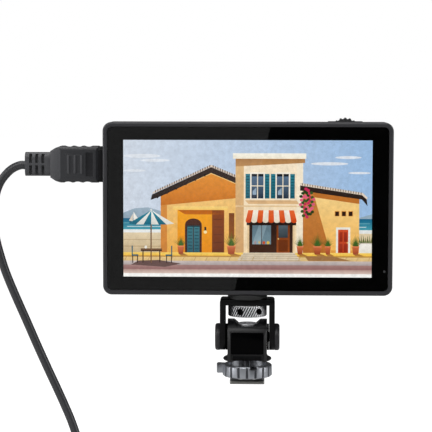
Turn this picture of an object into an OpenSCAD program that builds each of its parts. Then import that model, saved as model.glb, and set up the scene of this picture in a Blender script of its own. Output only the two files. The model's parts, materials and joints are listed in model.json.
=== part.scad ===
// Camera field monitor on a swivelling tilt arm, with its picture lead plugged in.
// Millimetres. The origin is the centre of the shoe foot's underside, +Z is up,
// and the screen faces -Y.

/* [Housing] */
// Width of the housing
body_w = 154; // [152:0.5:170]
// Height of the housing
body_h = 92; // [90:0.5:104]
// Depth of the housing, from the front rim to the rear skin
body_t = 20; // [20:0.1:24]
// Radius of the housing's corners, seen from the front
body_r = 4.8; // [4:0.1:6]
// Rounding along the front edge
edge_r = 1.2; // [0.8:0.1:1.5]
// Rounding along the rear edge
back_r = 2.6; // [1.8:0.1:3]
// Wall thickness of both shells
wall = 1.8; // [1.5:0.1:2]
// Depth of the front frame
frame_t = 4.2; // [4:0.1:4.6]
// Rim that shows round the cover glass
rim_w = 2.4; // [2:0.1:2.8]
// Gap between parts that are laid in or pushed together
fit_gap = 0.15; // [0.1:0.01:0.2]

/* [Screen] */
// Width of the picture
view_w = 132.8; // [128:0.2:134]
// Height of the picture
view_h = 74.7; // [70:0.1:75.5]
// Thickness of the cover glass
glass_t = 1.1; // [0.8:0.1:1.2]
// Depth of the glass below the rim
glass_set = 0.15; // [0.1:0.05:0.3]
// Corner radius of the glass
glass_r = 2.4; // [1.8:0.1:3]
// Border of the panel round the picture
panel_edge = 2.6; // [2:0.1:2.8]
// Thickness of the display panel
panel_t = 2; // [1.6:0.1:2.2]
// Thickness of the backlight
light_t = 3; // [2.4:0.1:3.2]

/* [Electronics] */
// Thickness of the sheet-metal chassis
sheet_t = 0.8; // [0.6:0.1:1]
// Height of the posts between chassis and board
post_h = 2.8; // [2.4:0.1:3]
// Thickness of the circuit boards
board_t = 1.2; // [1:0.1:1.4]
// Side of the heat sink
sink_w = 34; // [28:1:36]
// Number of heat sink fins
fin_count = 9; // [6:1:11]
// Side of the fan
fan_w = 30; // [28:0.5:31]
// Number of fan blades
blade_count = 7; // [5:1:9]

/* [Ports] */
// Height of the picture input above the screen's centre
input_z = 23.05; // [21:0.1:24]
// Drop from the picture input to the picture output
port_pitch = 22; // [19:0.5:23]
// Width of the picture plug's metal shell
plug_w = 13.9; // [13.8:0.05:14]
// Thickness of the picture plug's metal shell
plug_t = 4.45; // [4.4:0.01:4.5]
// Depth of the picture sockets
socket_l = 11.6; // [11:0.1:12.5]
// Radius of the headphone jack's hole
phone_r = 1.8; // [1.7:0.01:1.85]
// Radius of the power jack's hole
power_r = 2.8; // [2.7:0.01:2.85]

/* [Controls] */
// Distance of the dial from the housing's right side
dial_side = 25; // [22:0.5:30]
// Radius of the menu dial
dial_r = 8.4; // [7.6:0.1:8.4]
// Width of the menu dial
dial_w = 4.8; // [4.4:0.1:4.9]
// Height of the dial above the housing
dial_rise = 2.3; // [2.2:0.1:3.2]
// Number of teeth round the dial
dial_teeth = 20; // [16:1:24]
// Travel of the dial when it is pressed
dial_press = 0.5; // [0.3:0.1:0.6]
// Distance of the power button from the dial
button_pitch = 27; // [24:0.5:30]
// Travel of the power button
button_press = 0.4; // [0.3:0.1:0.5]

/* [Battery plate] */
// Width of the battery between the rails
cell_w = 38.8; // [38.6:0.1:39]
// Length of the rails
rail_l = 60; // [56:1:64]
// Height of the rails
rail_h = 4.8; // [4.6:0.1:5.2]
// Thickness of the plate
plate_t = 4; // [3.8:0.1:4.6]
// Travel of the battery latch
latch_press = 1.3; // [0.9:0.1:1.3]

/* [Tilt arm] */
// Outer width of the bracket
bracket_w = 29.4; // [29.3:0.1:31]
// Depth of the bracket
bracket_d = 16; // [14.6:0.2:18]
// Thickness of the bracket's metal
bracket_t = 3; // [2.6:0.1:3.2]
// Radius of the bracket's ears
ear_r = 7.1; // [6.6:0.1:7.2]
// Radius of the end caps
cap_r = 7.25; // [7.2:0.05:7.6]
// Thickness of the end caps
cap_t = 2.5; // [1.9:0.1:2.8]
// Radius of the tilt pivots
pivot_r = 2.5; // [2:0.1:2.8]
// Radius of the pad under the monitor
pad_r = 10.6; // [9.6:0.1:10.8]
// Thickness of the pad under the monitor
pad_t = 2.7; // [2.6:0.05:3.6]
// Radius of the thumb wheel
wheel_r = 10.4; // [9.6:0.1:10.5]
// Height of the thumb wheel
wheel_h = 6.1; // [5.6:0.1:6.4]
// Radius of the holes round the thumb wheel
wheel_hole_r = 1.55; // [1.2:0.05:1.7]
// Number of holes round the thumb wheel
wheel_holes = 6; // [4:1:8]
// Radius of the standard camera screw
screw_r = 3.1; // [3.1:0.005:3.11]

/* [Swivel block] */
// Width of the swivel block
block_w = 21.1; // [20.6:0.1:21.2]
// Depth of the swivel block
block_d = 19.4; // [18.8:0.1:19.6]
// Radius of the block's crown about the tilt axis
crown_r = 9.8; // [9.8:0.05:10.4]
// Height of the tilt axis above the block's underside
tilt_h = 12.3; // [11.6:0.05:12.4]
// Radius of the block's flange
flange_r = 13; // [12.4:0.05:13.2]
// Thickness of the flange's rim
flange_t = 1.1; // [1:0.05:1.15]
// Radius of the swivel bolt's head
head_r = 5.35; // [4.8:0.05:5.4]
// Radius of the swivel bolt's shank
shank_r = 1.6; // [1.4:0.05:1.7]
// Radius of the neck between the foot and the block
neck_r = 2.1; // [2:0.05:2.4]

/* [Lock ring and foot] */
// Width and length of the shoe foot
foot_w = 18.6; // [18.4:0.05:18.6]
// Thickness of the shoe foot
foot_t = 1.7; // [1.5:0.05:2]
// Gap for the shoe's rails, between foot and lock ring
rail_gap = 1.7; // [1.1:0.05:2]
// Radius of the lock ring
ring_r = 13.3; // [12.8:0.1:13.8]
// Height of the lock ring
ring_h = 6.3; // [5.8:0.1:7]
// Number of flutes round the lock ring
flute_count = 18; // [14:1:22]
// Reach of the ring's thumb lobe, from the centre
lobe_reach = 16.5; // [15.4:0.1:17]
// Radius of the foot's threaded post
post_r = 4.4; // [4:0.1:5]
// Gap between the lock ring and the swivel block
neck_gap = 2.4; // [2.4:0.05:3.2]

/* [Lead] */
// Diameter of the lead
lead_d = 4.6; // [3.8:0.1:5]
// Length of the picture plug's moulded grip
grip_l = 20.2; // [19:0.1:22]
// Height of the picture plug's moulded grip
grip_w = 19.7; // [18.8:0.1:20.4]
// Thickness of the picture plug's moulded grip
grip_t = 11; // [10:0.1:11.4]

/* [Hidden] */
$fn = 48;
eps = 0.01;
run_gap = 0.05;

// Levels of the arm, from the foot up
ring_z = foot_t + rail_gap;
block_z = ring_z + ring_h + neck_gap;
tilt_z = block_z + tilt_h;
crown_gap = 1.75;
wheel_z = tilt_z + crown_r + crown_gap;
seat_gap = 0.2;
bar_z = wheel_z + wheel_h + seat_gap;
pad_z = bar_z + bracket_t;
body_z = pad_z + pad_t;
mon_z = body_z + body_h / 2;

// Depths inside the housing, from the front back
front_y = -body_t / 2;
rear_y = body_t / 2;
seam_y = front_y + frame_t;
glass_y = front_y + glass_set;
mask_t = 0.15;
mask_y = glass_y + glass_t;
panel_y = mask_y + mask_t;
gasket_t = 0.6;
sensor_r = 0.65;
sensor_side = 1.85;
sensor_rise = 4.4;
ledge_y = panel_y + gasket_t;
ledge_t = 1.4;
light_y = panel_y + panel_t;
chassis_y = light_y + light_t;
board_y = chassis_y + sheet_t + post_h;
parts_y = board_y + board_t;
skin_y = rear_y - wall;

// Outlines inside the housing
glass_w = body_w - 2 * (rim_w + fit_gap);
glass_h = body_h - 2 * (rim_w + fit_gap);
panel_w = view_w + 2 * panel_edge;
panel_h = view_h + 2 * panel_edge;
window_w = panel_w + 1;
window_h = panel_h + 1;
inner_w = body_w - 2 * wall;
inner_h = body_h - 2 * wall;
inner_r = body_r - wall;

// Screws and bosses
boss_r = 2.4;
boss_x = inner_w / 2 - 3.4;
boss_z = inner_h / 2 - 2.9;
boss_end_y = parts_y + 1;
small_screw_r = 1.2;
small_head_r = 2.1;
small_head_t = 1.3;
ear_out = 2.4;
ear_x = window_w / 2 + ear_out;
ear_drop = 21.95;
ear_z = inner_h / 2 - ear_drop;
ear_h = 7;
ear_gap = 0.3;
chassis_side = 6.2;
chassis_end = 4;
chassis_w = inner_w - 2 * chassis_side;
chassis_h = inner_h - 2 * chassis_end;

// Main board: its edges keep clear of the bush below and of the dial above
board_side = 0.4;
board_wall = 3.4;
board_foot = 8.95;
board_head = 14.95;
board_low = -inner_h / 2 + board_foot;
board_top = inner_h / 2 - board_head;
board_left = -inner_w / 2 + board_side;
board_right = inner_w / 2 - board_side - board_wall;
bush_clear_w = 8;
bush_clear_h = 13;
stand_r = 2.2;
post_side = 19.2;
post_foot = 8;
post_head = 7;
chip_w = 20;
chip_t = 1.2;
memory_t = 1.1;
coil_t = 2.6;
memory_w = 9;
memory_h = 13;
memory_x = 6;
memory_z = [14, -4];
coil_w = 5;
coil_pitch = 7;
coil_x = -14;
coil_z = -26;

// Heat sink on the left and fan on the right, behind their grilles
cooler_side = 37;
cooler_x = body_w / 2 - cooler_side;
cooler_z = -2;
sink_base_t = 1.2;
fin_t = 1;
grille_pitch = 2.4;
grille_slot = 1.2;
vent_x = 7.5;
vent_w = 13;
vent_h = 1.3;
vent_pitch = 2.8;
exhaust_pitch = 6;
exhaust_w = 3.6;
exhaust_d = 4;
exhaust_y = 1;
exhaust_side = 27;

// Sockets
socket_wall = 0.4;
plug_bevel = 1.5;
plug_gap = 0.07;
socket_y = parts_y + 0.2 + plug_t / 2 + plug_gap + socket_wall;
mouth_x = body_w / 2 - 0.4;
output_z = input_z - port_pitch;
phone_z = output_z - 17;
update_z = phone_z - 13;
power_z = 18;
power_jack_w = 9;
power_jack_t = 6.6;
power_jack_l = 12;
power_y = parts_y + 0.1 + power_jack_t / 2;
phone_w = 6;
phone_t = 5.4;
phone_l = 12;
update_w = 9;
update_t = 3.3;
update_l = 7.4;

// Controls on top
dial_x = body_w / 2 - dial_side;
dial_z = body_h / 2 + dial_rise - dial_r;
dial_y = (parts_y + skin_y) / 2;
axle_r = 0.9;
cheek_t = 0.7;
cheek_gap = 0.25;
carriage_w = 10;
carriage_base_t = 1.1;
carriage_base_z = dial_z - dial_r - 0.6 - carriage_base_t;
dial_switch_h = 1.9;
dial_spring_h = 1.1;
shelf_z = carriage_base_z - dial_spring_h - dial_switch_h;
shelf_t = 1.2;
button_x = dial_x - button_pitch;
button_w = 9;
button_d = 3.6;
button_h = wall + 2.4;
button_switch_h = 2;

// Battery plate
plate_z = -2;
rail_t = 1.7;
plate_w = cell_w + 2 * rail_t;
lip_t = 1.3;
lip_in = 1.2;
lip_l = 9;
block_end = 4.5;
plate_l = rail_l + block_end;
plate_screw_in = 7.1;
plate_screw_end = 14.25;
latch_w = 12;
latch_l = 8;
latch_t = 3.8;
latch_rise = 1.7;
latch_z = plate_z + plate_l / 2 - 8;

// Bushes for the standard camera screw
bush_r = 4.6;
bush_l = 5.4;
bush_boss_r = 5.75;
thread_r = 3.175;

// Tilt arm
washer_gap = 0.05;
ear_x_in = bracket_w / 2 - bracket_t;
washer_x = block_w / 2 + washer_gap;
washer_t = ear_x_in - washer_x - 2 * washer_gap;
cap_x = bracket_w / 2 + 0.12;
pivot_in = 4.6;
shoulder_r = 1.5;
shoulder_drop = 5.8;
front_cut_w = 17.3;
front_cut_z = block_z + 4.1;
front_cut_h = 11.6;
front_cut_depth = 1.4;
slot_w = 15.3;
slot_rib = 0.8;
slot_depth = 4.5;
cover_t = 1.1;
skirt_h = 2.7;
head_t = 1.8;
head_key_r = 1.9;
swivel_washer_t = 0.5;
head_well_r = head_r + 0.25;
head_well_z = tilt_z + 4.75;
saddle_z = tilt_z + 6.45;
bore_gap = 0.06;
rail_neck_r = 6.1;
hub_top = ring_z + 2.9;
cup_r = 10.4;
notch_h = 1.6;
lobe_half = 5.2;
lobe_h = 4.3;

// Lead: the route of its middle line, from the plug's boot to the camera plug's boot
plug_z = mon_z + input_z;
collar_l = 2.9;
collar_gap = 0.3;
taper_l = 5.6;
scallop_pitch = 5.2;
rib_pitch = 3.55;
rib_w = 1.1;
rib_rise = 0.4;
boot_l = 13.7;
boot_w = 12.8;
boot_t = 8.6;
slot_pitch = 3.3;
spine_h = 1.2;
boot_slot_w = 1.5;
boot_slot_h = 5;
boot_slot_depth = 2.9;
grip_x = -(body_w / 2 + collar_gap + collar_l);
boot_x = grip_x - grip_l - taper_l;
lead_x = boot_x - boot_l;
lead_sides = 10;
route = [[-119.7, 4.1, 116.3], [-122.6, 4.1, 116.3], [-127, 4, 114.4], [-130.7, 3.6, 111], [-133.7, 2.9, 106.6],
    [-135.7, 1.9, 100.8], [-136.8, 0.7, 93.4], [-136.7, -0.3, 85.5], [-135.5, -0.9, 77.2], [-133.3, -1.2, 68.6],
    [-130.4, -1.2, 59.4], [-126.9, -1, 50.4], [-123.2, -0.7, 41.6], [-119.2, -0.5, 32.4], [-115.4, -0.3, 23.4],
    [-111.4, -0.2, 14.2], [-107.2, -0.1, 4.8], [-103.1, 0, -4.2], [-99, 0, -13.4], [-95.2, 0, -22.6],
    [-92.2, 0, -32], [-90.5, 0, -42], [-89.7, 0, -52], [-89.5, 0, -62], [-89.5, 0, -72], [-89.5, 0, -82],
    [-89.5, 0, -92], [-89.5, 0, -100]];
end_x = route[len(route) - 1][0];
end_y = route[len(route) - 1][1];
end_z = route[len(route) - 1][2];
mini_boot_l = 12;
mini_grip_l = 17;
mini_shell_l = 6.5;

// ---- Shared shapes ----

// A rounded rectangle, centred
module rounded(w, h, r) {
    square([w - 2 * r, h], center = true);
    square([w, h - 2 * r], center = true);
    for (x = [-1, 1], z = [-1, 1])
        translate([x * (w / 2 - r), z * (h / 2 - r)]) circle(r);
}

// A rounded plate that stands in XZ, from y = 0 to y = t
module slab(w, h, r, t) {
    translate([0, t, 0]) rotate([90, 0, 0]) linear_extrude(t) rounded(w, h, r);
}

// A cuboid centred in X and Z, from y = 0 to y = t
module bar(w, h, t) {
    translate([-w / 2, 0, -h / 2]) cube([w, t, h]);
}

// A round pin along Y, from y = 0 to y = l
module pin_y(r, l) {
    rotate([-90, 0, 0]) cylinder(r = r, h = l);
}

// A round pin along X, from x = 0 to x = l
module pin_x(r, l) {
    rotate([0, 90, 0]) cylinder(r = r, h = l);
}

// Half the section of a shell: depth along X, width along Y, rounded where x = 0
module shell_section(w, t, e) {
    translate([e, -w / 2]) square([t - e, w]);
    translate([0, -w / 2 + e]) square([t, w - 2 * e]);
    for (s = [-1, 1])
        translate([e, s * (w / 2 - e)]) circle(e);
}

// A rounded plate that stands in XZ, whose edge at y = 0 is rounded all round
module soft_slab(w, h, r, t, e) {
    for (x = [-1, 1], z = [-1, 1])
        translate([x * (w / 2 - r), 0, z * (h / 2 - r)]) rotate([-90, 0, 0]) rotate_extrude() intersection() {
            union() {
                square([r - e, t]);
                translate([0, e]) square([r, t - e]);
                translate([r - e, e]) circle(e);
            }
            square([r, t]);
        }
    translate([-(w / 2 - r), 0, 0]) rotate([90, 0, 90]) linear_extrude(w - 2 * r) shell_section(h, t, e);
    translate([0, 0, -(h / 2 - r)]) rotate([0, 0, 90]) linear_extrude(h - 2 * r) shell_section(w, t, e);
}

// A turned disc along Z with both rims chamfered by c
module disc(r, h, c) {
    rotate_extrude()
        polygon([[0, 0], [r - c, 0], [r, c], [r, h - c], [r - c, h], [0, h]]);
}

// Moves a shape from the screen's centre to its place on the arm
module at_monitor() {
    translate([0, 0, mon_z]) children();
}

// The four corners where the two shells are screwed together
module at_corners() {
    for (x = [-1, 1], z = [-1, 1])
        translate([x * boss_x, 0, z * boss_z]) children();
}

// The four ears that hold the chassis in the frame
module at_ears() {
    for (x = [-1, 1], z = [-1, 1])
        translate([x * ear_x, 0, z * ear_z]) children();
}

// A place on the left side, with the mouth at x = 0 and the inside towards +X
module at_left(z) {
    translate([-mouth_x, socket_y, z]) children();
}

// The outline of the picture plug, in YZ, grown by g
function plug_outline(g) = let (a = plug_t / 2 + g, b = plug_w / 2 + g, c = plug_bevel)
    [[a, -b], [a, b], [c - a, b], [-a, b - c], [-a, c - b], [c - a, -b]];

// A prism along X from an outline in YZ
module prism_x(l) {
    rotate([90, 0, 90]) linear_extrude(l) children();
}

// ---- Housing ----

module front_frame() color([0.22, 0.22, 0.23]) at_monitor() difference() {
    union() {
        difference() {
            translate([0, front_y, 0]) soft_slab(body_w, body_h, body_r, frame_t, edge_r);
            translate([0, front_y - 1, 0])
                slab(body_w - 2 * rim_w, body_h - 2 * rim_w, glass_r + fit_gap, ledge_y - front_y + 1);
            translate([0, front_y, 0]) slab(window_w, window_h, 0.8, frame_t + 1);
            translate([0, ledge_y + ledge_t, 0]) slab(inner_w, inner_h, inner_r, frame_t);
        }
        at_corners() translate([0, ledge_y + eps, 0]) pin_y(boss_r, boss_end_y - ledge_y);
        at_ears() translate([0, ledge_y + eps, 0]) pin_y(boss_r - 0.4, chassis_y - ledge_y - eps);
    }
    at_corners() translate([0, boss_end_y - 8, 0]) pin_y(small_screw_r + 0.03, 9);
    at_ears() translate([0, chassis_y - 3, 0]) pin_y(small_screw_r - 0.17, 4);
}

// Where air is drawn in behind the fan: slots across a circle
module fan_grille() {
    for (i = [-5:5]) let (z = i * grille_pitch, half = sqrt(pow(fan_w / 2 - fan_edge, 2) - z * z))
        translate([0, skin_y - 1, z]) bar(2 * half, grille_slot, wall + 2);
}

// Warm air leaves through short slots over the heat sink
module sink_grille() {
    for (i = [-5:5], x = [-vent_x, vent_x])
        translate([x, skin_y - 1, i * vent_pitch]) slab(vent_w, vent_h, vent_h / 2 - 0.05, wall + 2);
}

// Where the dial stands out of the top
module dial_slot() {
    translate([dial_x, dial_y - dial_w / 2 - cheek_gap, body_h / 2 - wall - 1])
        translate([-dial_r, 0, 0]) cube([2 * dial_r, dial_w + 2 * cheek_gap, wall + 3]);
}

module port_windows() {
    for (z = [input_z, output_z])
        translate([-body_w / 2 - 1, socket_y, z]) prism_x(wall + 2)
            polygon(plug_outline(plug_gap + socket_wall + fit_gap));
    translate([-body_w / 2 - 1, socket_y, phone_z]) pin_x(phone_t / 2 - 0.2, wall + 2);
    translate([-body_w / 2 - 1, socket_y, update_z]) prism_x(wall + 2)
        rounded(update_t + 2 * fit_gap, update_w + 2 * fit_gap, update_t / 2);
    translate([body_w / 2 - wall - 1, power_y, power_z]) pin_x(power_r + 0.25, wall + 2);
}

module rear_cover() color([0.12, 0.12, 0.13]) at_monitor() difference() {
    union() {
        difference() {
            translate([0, rear_y, 0]) mirror([0, 1, 0])
                soft_slab(body_w, body_h, body_r, rear_y - seam_y, back_r);
            translate([0, seam_y - 1, 0]) slab(inner_w, inner_h, inner_r, skin_y - seam_y + 1);
        }
        // Columns that the screws pass down
        at_corners() translate([0, boss_end_y + 0.05, 0]) pin_y(boss_r + 0.3, skin_y - boss_end_y);
        // Seats for the camera-screw bushes
        translate([0, 0, -body_h / 2 + 0.5]) cylinder(r = bush_boss_r, h = bush_l - 0.45);
        translate([body_w / 2 - 0.5, 0, 0]) rotate([0, -90, 0]) cylinder(r = bush_boss_r, h = bush_l - 0.45);
        // Shelves under the dial and the power button
        translate([dial_x - 6, parts_y + 0.5, shelf_z - shelf_t])
            cube([12, skin_y - parts_y - 0.5 + eps, shelf_t]);
        translate([button_x - 5, parts_y + 0.5, button_shelf_z() - shelf_t])
            cube([10, skin_y - parts_y - 0.5 + eps, shelf_t]);
        // Low wall round the dial
        translate([dial_x, dial_y, body_h / 2 - eps]) linear_extrude(0.35)
            rounded(2 * dial_r + 1.6, dial_w + 2 * cheek_gap + 1.4, 1.2);
    }
    // Screw holes with counterbores
    at_corners() translate([0, boss_end_y - 1, 0]) pin_y(small_screw_r + 0.25, rear_y - boss_end_y + 2);
    at_corners() translate([0, rear_y - small_head_t - 0.4, 0]) pin_y(small_head_r + 0.2, small_head_t + 1);
    translate([0, 0, -body_h / 2 - 1]) cylinder(r = bush_r + 0.02, h = bush_l + 2);
    translate([body_w / 2 + 1, 0, 0]) rotate([0, -90, 0]) cylinder(r = bush_r + 0.02, h = bush_l + 2);
    dial_slot();
    translate([button_x, dial_y, body_h / 2 - wall - 1])
        linear_extrude(wall + 3) rounded(button_w + 0.3, button_d + 0.3, 1);
    port_windows();
    translate([cooler_x, 0, cooler_z]) fan_grille();
    translate([-cooler_x, 0, cooler_z]) sink_grille();
    // Exhaust slots along the top
    for (i = [0:7])
        translate([-body_w / 2 + exhaust_side + i * exhaust_pitch, exhaust_y, body_h / 2 - wall - 1])
            cube([exhaust_w, exhaust_d, wall + 2]);
    // Holes for the battery plate's screws
    at_plate_screws() translate([0, skin_y - 1, 0]) pin_y(small_screw_r + 0.03, wall + 2);
}

module housing_screws() color([0.1, 0.1, 0.1]) at_monitor() at_corners() {
    translate([0, boss_end_y - 7.5, 0]) pin_y(small_screw_r, rear_y - boss_end_y + 7.5 - small_head_t - 0.4);
    translate([0, rear_y - small_head_t - 0.4, 0]) difference() {
        pin_y(small_head_r, small_head_t);
        for (a = [0, 90])
            rotate([0, a, 0]) translate([0, small_head_t - 0.6, 0]) bar(2.4, 0.6, 1);
    }
}

module bush() {
    difference() {
        cylinder(r = bush_r, h = bush_l);
        translate([0, 0, -1]) cylinder(r = thread_r, h = bush_l + 2);
    }
}

module bottom_bush() color("silver") at_monitor() translate([0, 0, -body_h / 2]) bush();

module side_bush() color("silver") at_monitor() translate([body_w / 2, 0, 0]) rotate([0, -90, 0]) bush();

// ---- Screen ----

module cover_glass() color([0.05, 0.05, 0.06, 0.5]) at_monitor()
    translate([0, glass_y, 0]) slab(glass_w, glass_h, glass_r, glass_t);

module border_mask() color([0.02, 0.02, 0.02]) at_monitor() difference() {
    translate([0, mask_y, 0]) slab(glass_w, glass_h, glass_r, mask_t);
    translate([0, mask_y - 1, 0]) bar(view_w, view_h, mask_t + 2);
    at_sensor() translate([0, -1, 0]) pin_y(sensor_r + 0.05, 3);
}

module glass_gasket() color([0.1, 0.1, 0.1]) at_monitor() difference() {
    translate([0, panel_y, 0]) slab(glass_w, glass_h, glass_r, gasket_t);
    translate([0, panel_y - 1, 0]) slab(window_w, window_h, 0.8, gasket_t + 2);
    at_sensor() translate([0, -1, 0]) pin_y(sensor_r + 0.05, 3);
}

module display_panel() color([0.3, 0.45, 0.6]) at_monitor()
    translate([0, panel_y, 0]) bar(panel_w, panel_h, panel_t);

module backlight() color([0.9, 0.9, 0.85]) at_monitor()
    translate([0, light_y, 0]) bar(panel_w, panel_h, light_t);

module panel_chassis() color([0.7, 0.7, 0.72]) at_monitor() difference() {
    union() {
        translate([0, chassis_y, 0]) bar(chassis_w, chassis_h, sheet_t);
        at_ears() translate([0, chassis_y, 0])
            slab(inner_w - 2 * (ear_x + ear_gap), ear_h, 1.2, sheet_t);
        // Posts that carry the main board
        for (x = [-1, 1], z = [board_low + post_foot, board_top - post_head])
            translate([x * (inner_w / 2 - post_side), chassis_y, z]) pin_y(stand_r, board_y - chassis_y);
    }
    at_ears() translate([0, chassis_y - 1, 0]) pin_y(small_screw_r, sheet_t + 2);
}

module chassis_screws() color([0.6, 0.6, 0.62]) at_monitor() at_ears() {
    translate([0, chassis_y - 2.6, 0]) pin_y(small_screw_r - 0.2, 2.7 + sheet_t);
    translate([0, chassis_y + sheet_t, 0]) pin_y(small_head_r - 0.2, 0.9);
}

// The light sensor looks out through a hole in the mask
module at_sensor() {
    translate([glass_w / 2 - sensor_side, mask_y, -view_h / 2 + sensor_rise]) children();
}

module light_sensor() color([0.35, 0.35, 0.37]) at_monitor() at_sensor() pin_y(sensor_r, mask_t + gasket_t);

// ---- Electronics ----

module main_board() color([0.05, 0.3, 0.15]) at_monitor() difference() {
    union() {
        translate([board_left, board_y, board_low])
            cube([board_right - board_left, board_t, board_top - board_low]);
        // Processor, memory and converters on the rear face
        translate([-cooler_x, parts_y - eps, cooler_z]) slab(chip_w, chip_w, 0.4, chip_t + eps);
        for (z = memory_z)
            translate([memory_x, parts_y - eps, z]) slab(memory_w, memory_h, 0.3, memory_t);
        for (i = [0:3])
            translate([coil_x + i * coil_pitch, parts_y - eps, coil_z]) slab(coil_w, coil_w, 0.4, coil_t);
    }
    // Clear of the tall bush on the right
    translate([body_w / 2 - bush_clear_w, board_y - 1, -bush_clear_h / 2])
        cube([bush_clear_w, board_t + 2, bush_clear_h]);
}

module heat_sink() color([0.75, 0.75, 0.78]) at_monitor()
    translate([-cooler_x, parts_y + chip_t, cooler_z]) {
        slab(sink_w, sink_w, 1, sink_base_t);
        for (i = [0:fin_count - 1])
            translate([-sink_w / 2 + fin_t / 2 + 0.1 + i * (sink_w - fin_t - 0.2) / (fin_count - 1),
                sink_base_t - eps, 0])
                bar(fin_t, sink_w, skin_y - parts_y - chip_t - sink_base_t - 0.5);
    }

// The fan, which hangs from the rear skin
fan_gap = 0.1;
fan_clear = 0.9;
fan_edge = 2;
fan_wall = 1.1;
fan_ear_in = 1.9;
fan_t = skin_y - parts_y - fan_gap - fan_clear;
fan_y = skin_y - fan_gap - fan_t;
fan_hub_r = 6.4;
fan_pin_r = 0.8;

module at_fan() {
    at_monitor() translate([cooler_x, fan_y, cooler_z]) children();
}

module fan_frame() color([0.08, 0.08, 0.08]) at_fan() {
    difference() {
        slab(fan_w, fan_w, 2, fan_t);
        translate([0, -1, 0]) pin_y(fan_w / 2 - fan_wall, fan_t + 2);
        for (x = [-1, 1], z = [-1, 1])
            translate([x * (fan_w / 2 - fan_ear_in), -1, z * (fan_w / 2 - fan_ear_in)])
                pin_y(0.9, fan_t + 2);
    }
    // Motor plate on three struts, with the pin that the rotor turns on
    pin_y(fan_hub_r, 0.9);
    for (a = [90, 210, 330])
        rotate([0, a, 0]) translate([0, 0, -0.8]) cube([fan_w / 2 - 0.6, 0.8, 1.6]);
    pin_y(fan_pin_r, fan_t - 1.2);
}

module fan_rotor() color([0.15, 0.15, 0.15]) at_fan() difference() {
    union() {
        translate([0, 1.2, 0]) pin_y(fan_hub_r, fan_t - 1.8);
        intersection() {
            for (i = [0:blade_count - 1])
                rotate([0, i * 360 / blade_count, 0]) translate([0, fan_t / 2 + 0.2, 0]) rotate([35, 0, 0])
                    translate([0, -0.35, -3.4]) cube([fan_w / 2, 0.7, 6.8]);
            translate([0, 1.3, 0]) pin_y(fan_w / 2 - 1.7, fan_t - 2);
        }
    }
    translate([0, 1, 0]) pin_y(fan_pin_r + run_gap, fan_t - 1.8);
}

// A picture socket: a folded shell round a tongue, open at x = 0
module picture_socket() {
    difference() {
        prism_x(socket_l) polygon(plug_outline(plug_gap + socket_wall));
        translate([-1, 0, 0]) prism_x(socket_l) polygon(plug_outline(plug_gap));
    }
    translate([1.6, -0.45, -5.7]) cube([socket_l - 1.8, 0.9, 11.4]);
}

module picture_input() color("silver") at_monitor() at_left(input_z) picture_socket();

module picture_output() color("silver") at_monitor() at_left(output_z) picture_socket();

module headphone_jack() color([0.1, 0.1, 0.1]) at_monitor() at_left(phone_z) difference() {
    union() {
        translate([wall, -phone_t / 2, -phone_w / 2]) cube([phone_l - wall, phone_t, phone_w]);
        pin_x(phone_t / 2 - 0.35, wall + 1);
    }
    translate([-1, 0, 0]) pin_x(phone_r, phone_l);
}

module update_socket() color("silver") at_monitor() at_left(update_z) {
    difference() {
        prism_x(update_l) rounded(update_t, update_w, update_t / 2 - 0.02);
        translate([-1, 0, 0]) prism_x(update_l) rounded(update_t - 0.6, update_w - 0.6, update_t / 2 - 0.32);
    }
    translate([1, -0.35, -3.3]) cube([update_l - 1.2, 0.7, 6.6]);
}

module power_jack() color([0.1, 0.1, 0.1]) at_monitor() translate([mouth_x, power_y, power_z])
    mirror([1, 0, 0]) {
        difference() {
            union() {
                translate([wall, -power_jack_t / 2, -power_jack_w / 2])
                    cube([power_jack_l - wall, power_jack_t, power_jack_w]);
                pin_x(power_r + 0.2, wall + 1);
            }
            translate([-1, 0, 0]) pin_x(power_r - 0.05, power_jack_l);
        }
        pin_x(1, power_jack_l - 0.5);
    }

// ---- Controls on top ----

function button_shelf_z() = body_h / 2 - button_h - button_switch_h - button_press + 0.3;

module menu_dial() color([0.09, 0.09, 0.1]) at_monitor() translate([dial_x, dial_y - dial_w / 2, dial_z])
    difference() {
        rotate([-90, 0, 0]) disc(dial_r, dial_w, 0.4);
        for (i = [0:dial_teeth - 1])
            rotate([0, (i + 0.5) * 360 / dial_teeth, 0]) translate([dial_r + 0.25, -1, 0])
                pin_y(0.95, dial_w + 2);
        translate([0, -1, 0]) pin_y(axle_r + run_gap, dial_w + 2);
    }

module dial_axle() color("silver") at_monitor()
    translate([dial_x, dial_y - dial_w / 2 - cheek_gap - cheek_t, dial_z])
        pin_y(axle_r, dial_w + 2 * (cheek_gap + cheek_t));

module dial_carriage() color([0.2, 0.2, 0.2]) at_monitor() difference() {
    union() {
        for (s = [0, 1])
            translate([dial_x - carriage_w / 2,
                dial_y - dial_w / 2 - cheek_gap - cheek_t + s * (dial_w + 2 * cheek_gap + cheek_t),
                carriage_base_z])
                cube([carriage_w, cheek_t, dial_z + 2.4 - carriage_base_z]);
        translate([dial_x - carriage_w / 2, dial_y - dial_w / 2 - cheek_gap - cheek_t, carriage_base_z])
            cube([carriage_w, dial_w + 2 * (cheek_gap + cheek_t), carriage_base_t]);
    }
    translate([dial_x, dial_y - dial_w, dial_z]) pin_y(axle_r + 0.01, 2 * dial_w);
}

module dial_switch() color([0.5, 0.5, 0.52]) at_monitor() translate([dial_x - 3, dial_y - 2.5, shelf_z])
    cube([6, 5, dial_switch_h]);

module dial_spring() color("silver") at_monitor()
    translate([dial_x, dial_y, shelf_z + dial_switch_h]) difference() {
        cylinder(r = 2, h = dial_spring_h);
        translate([0, 0, -1]) cylinder(r = 1.5, h = dial_spring_h + 2);
    }

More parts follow.
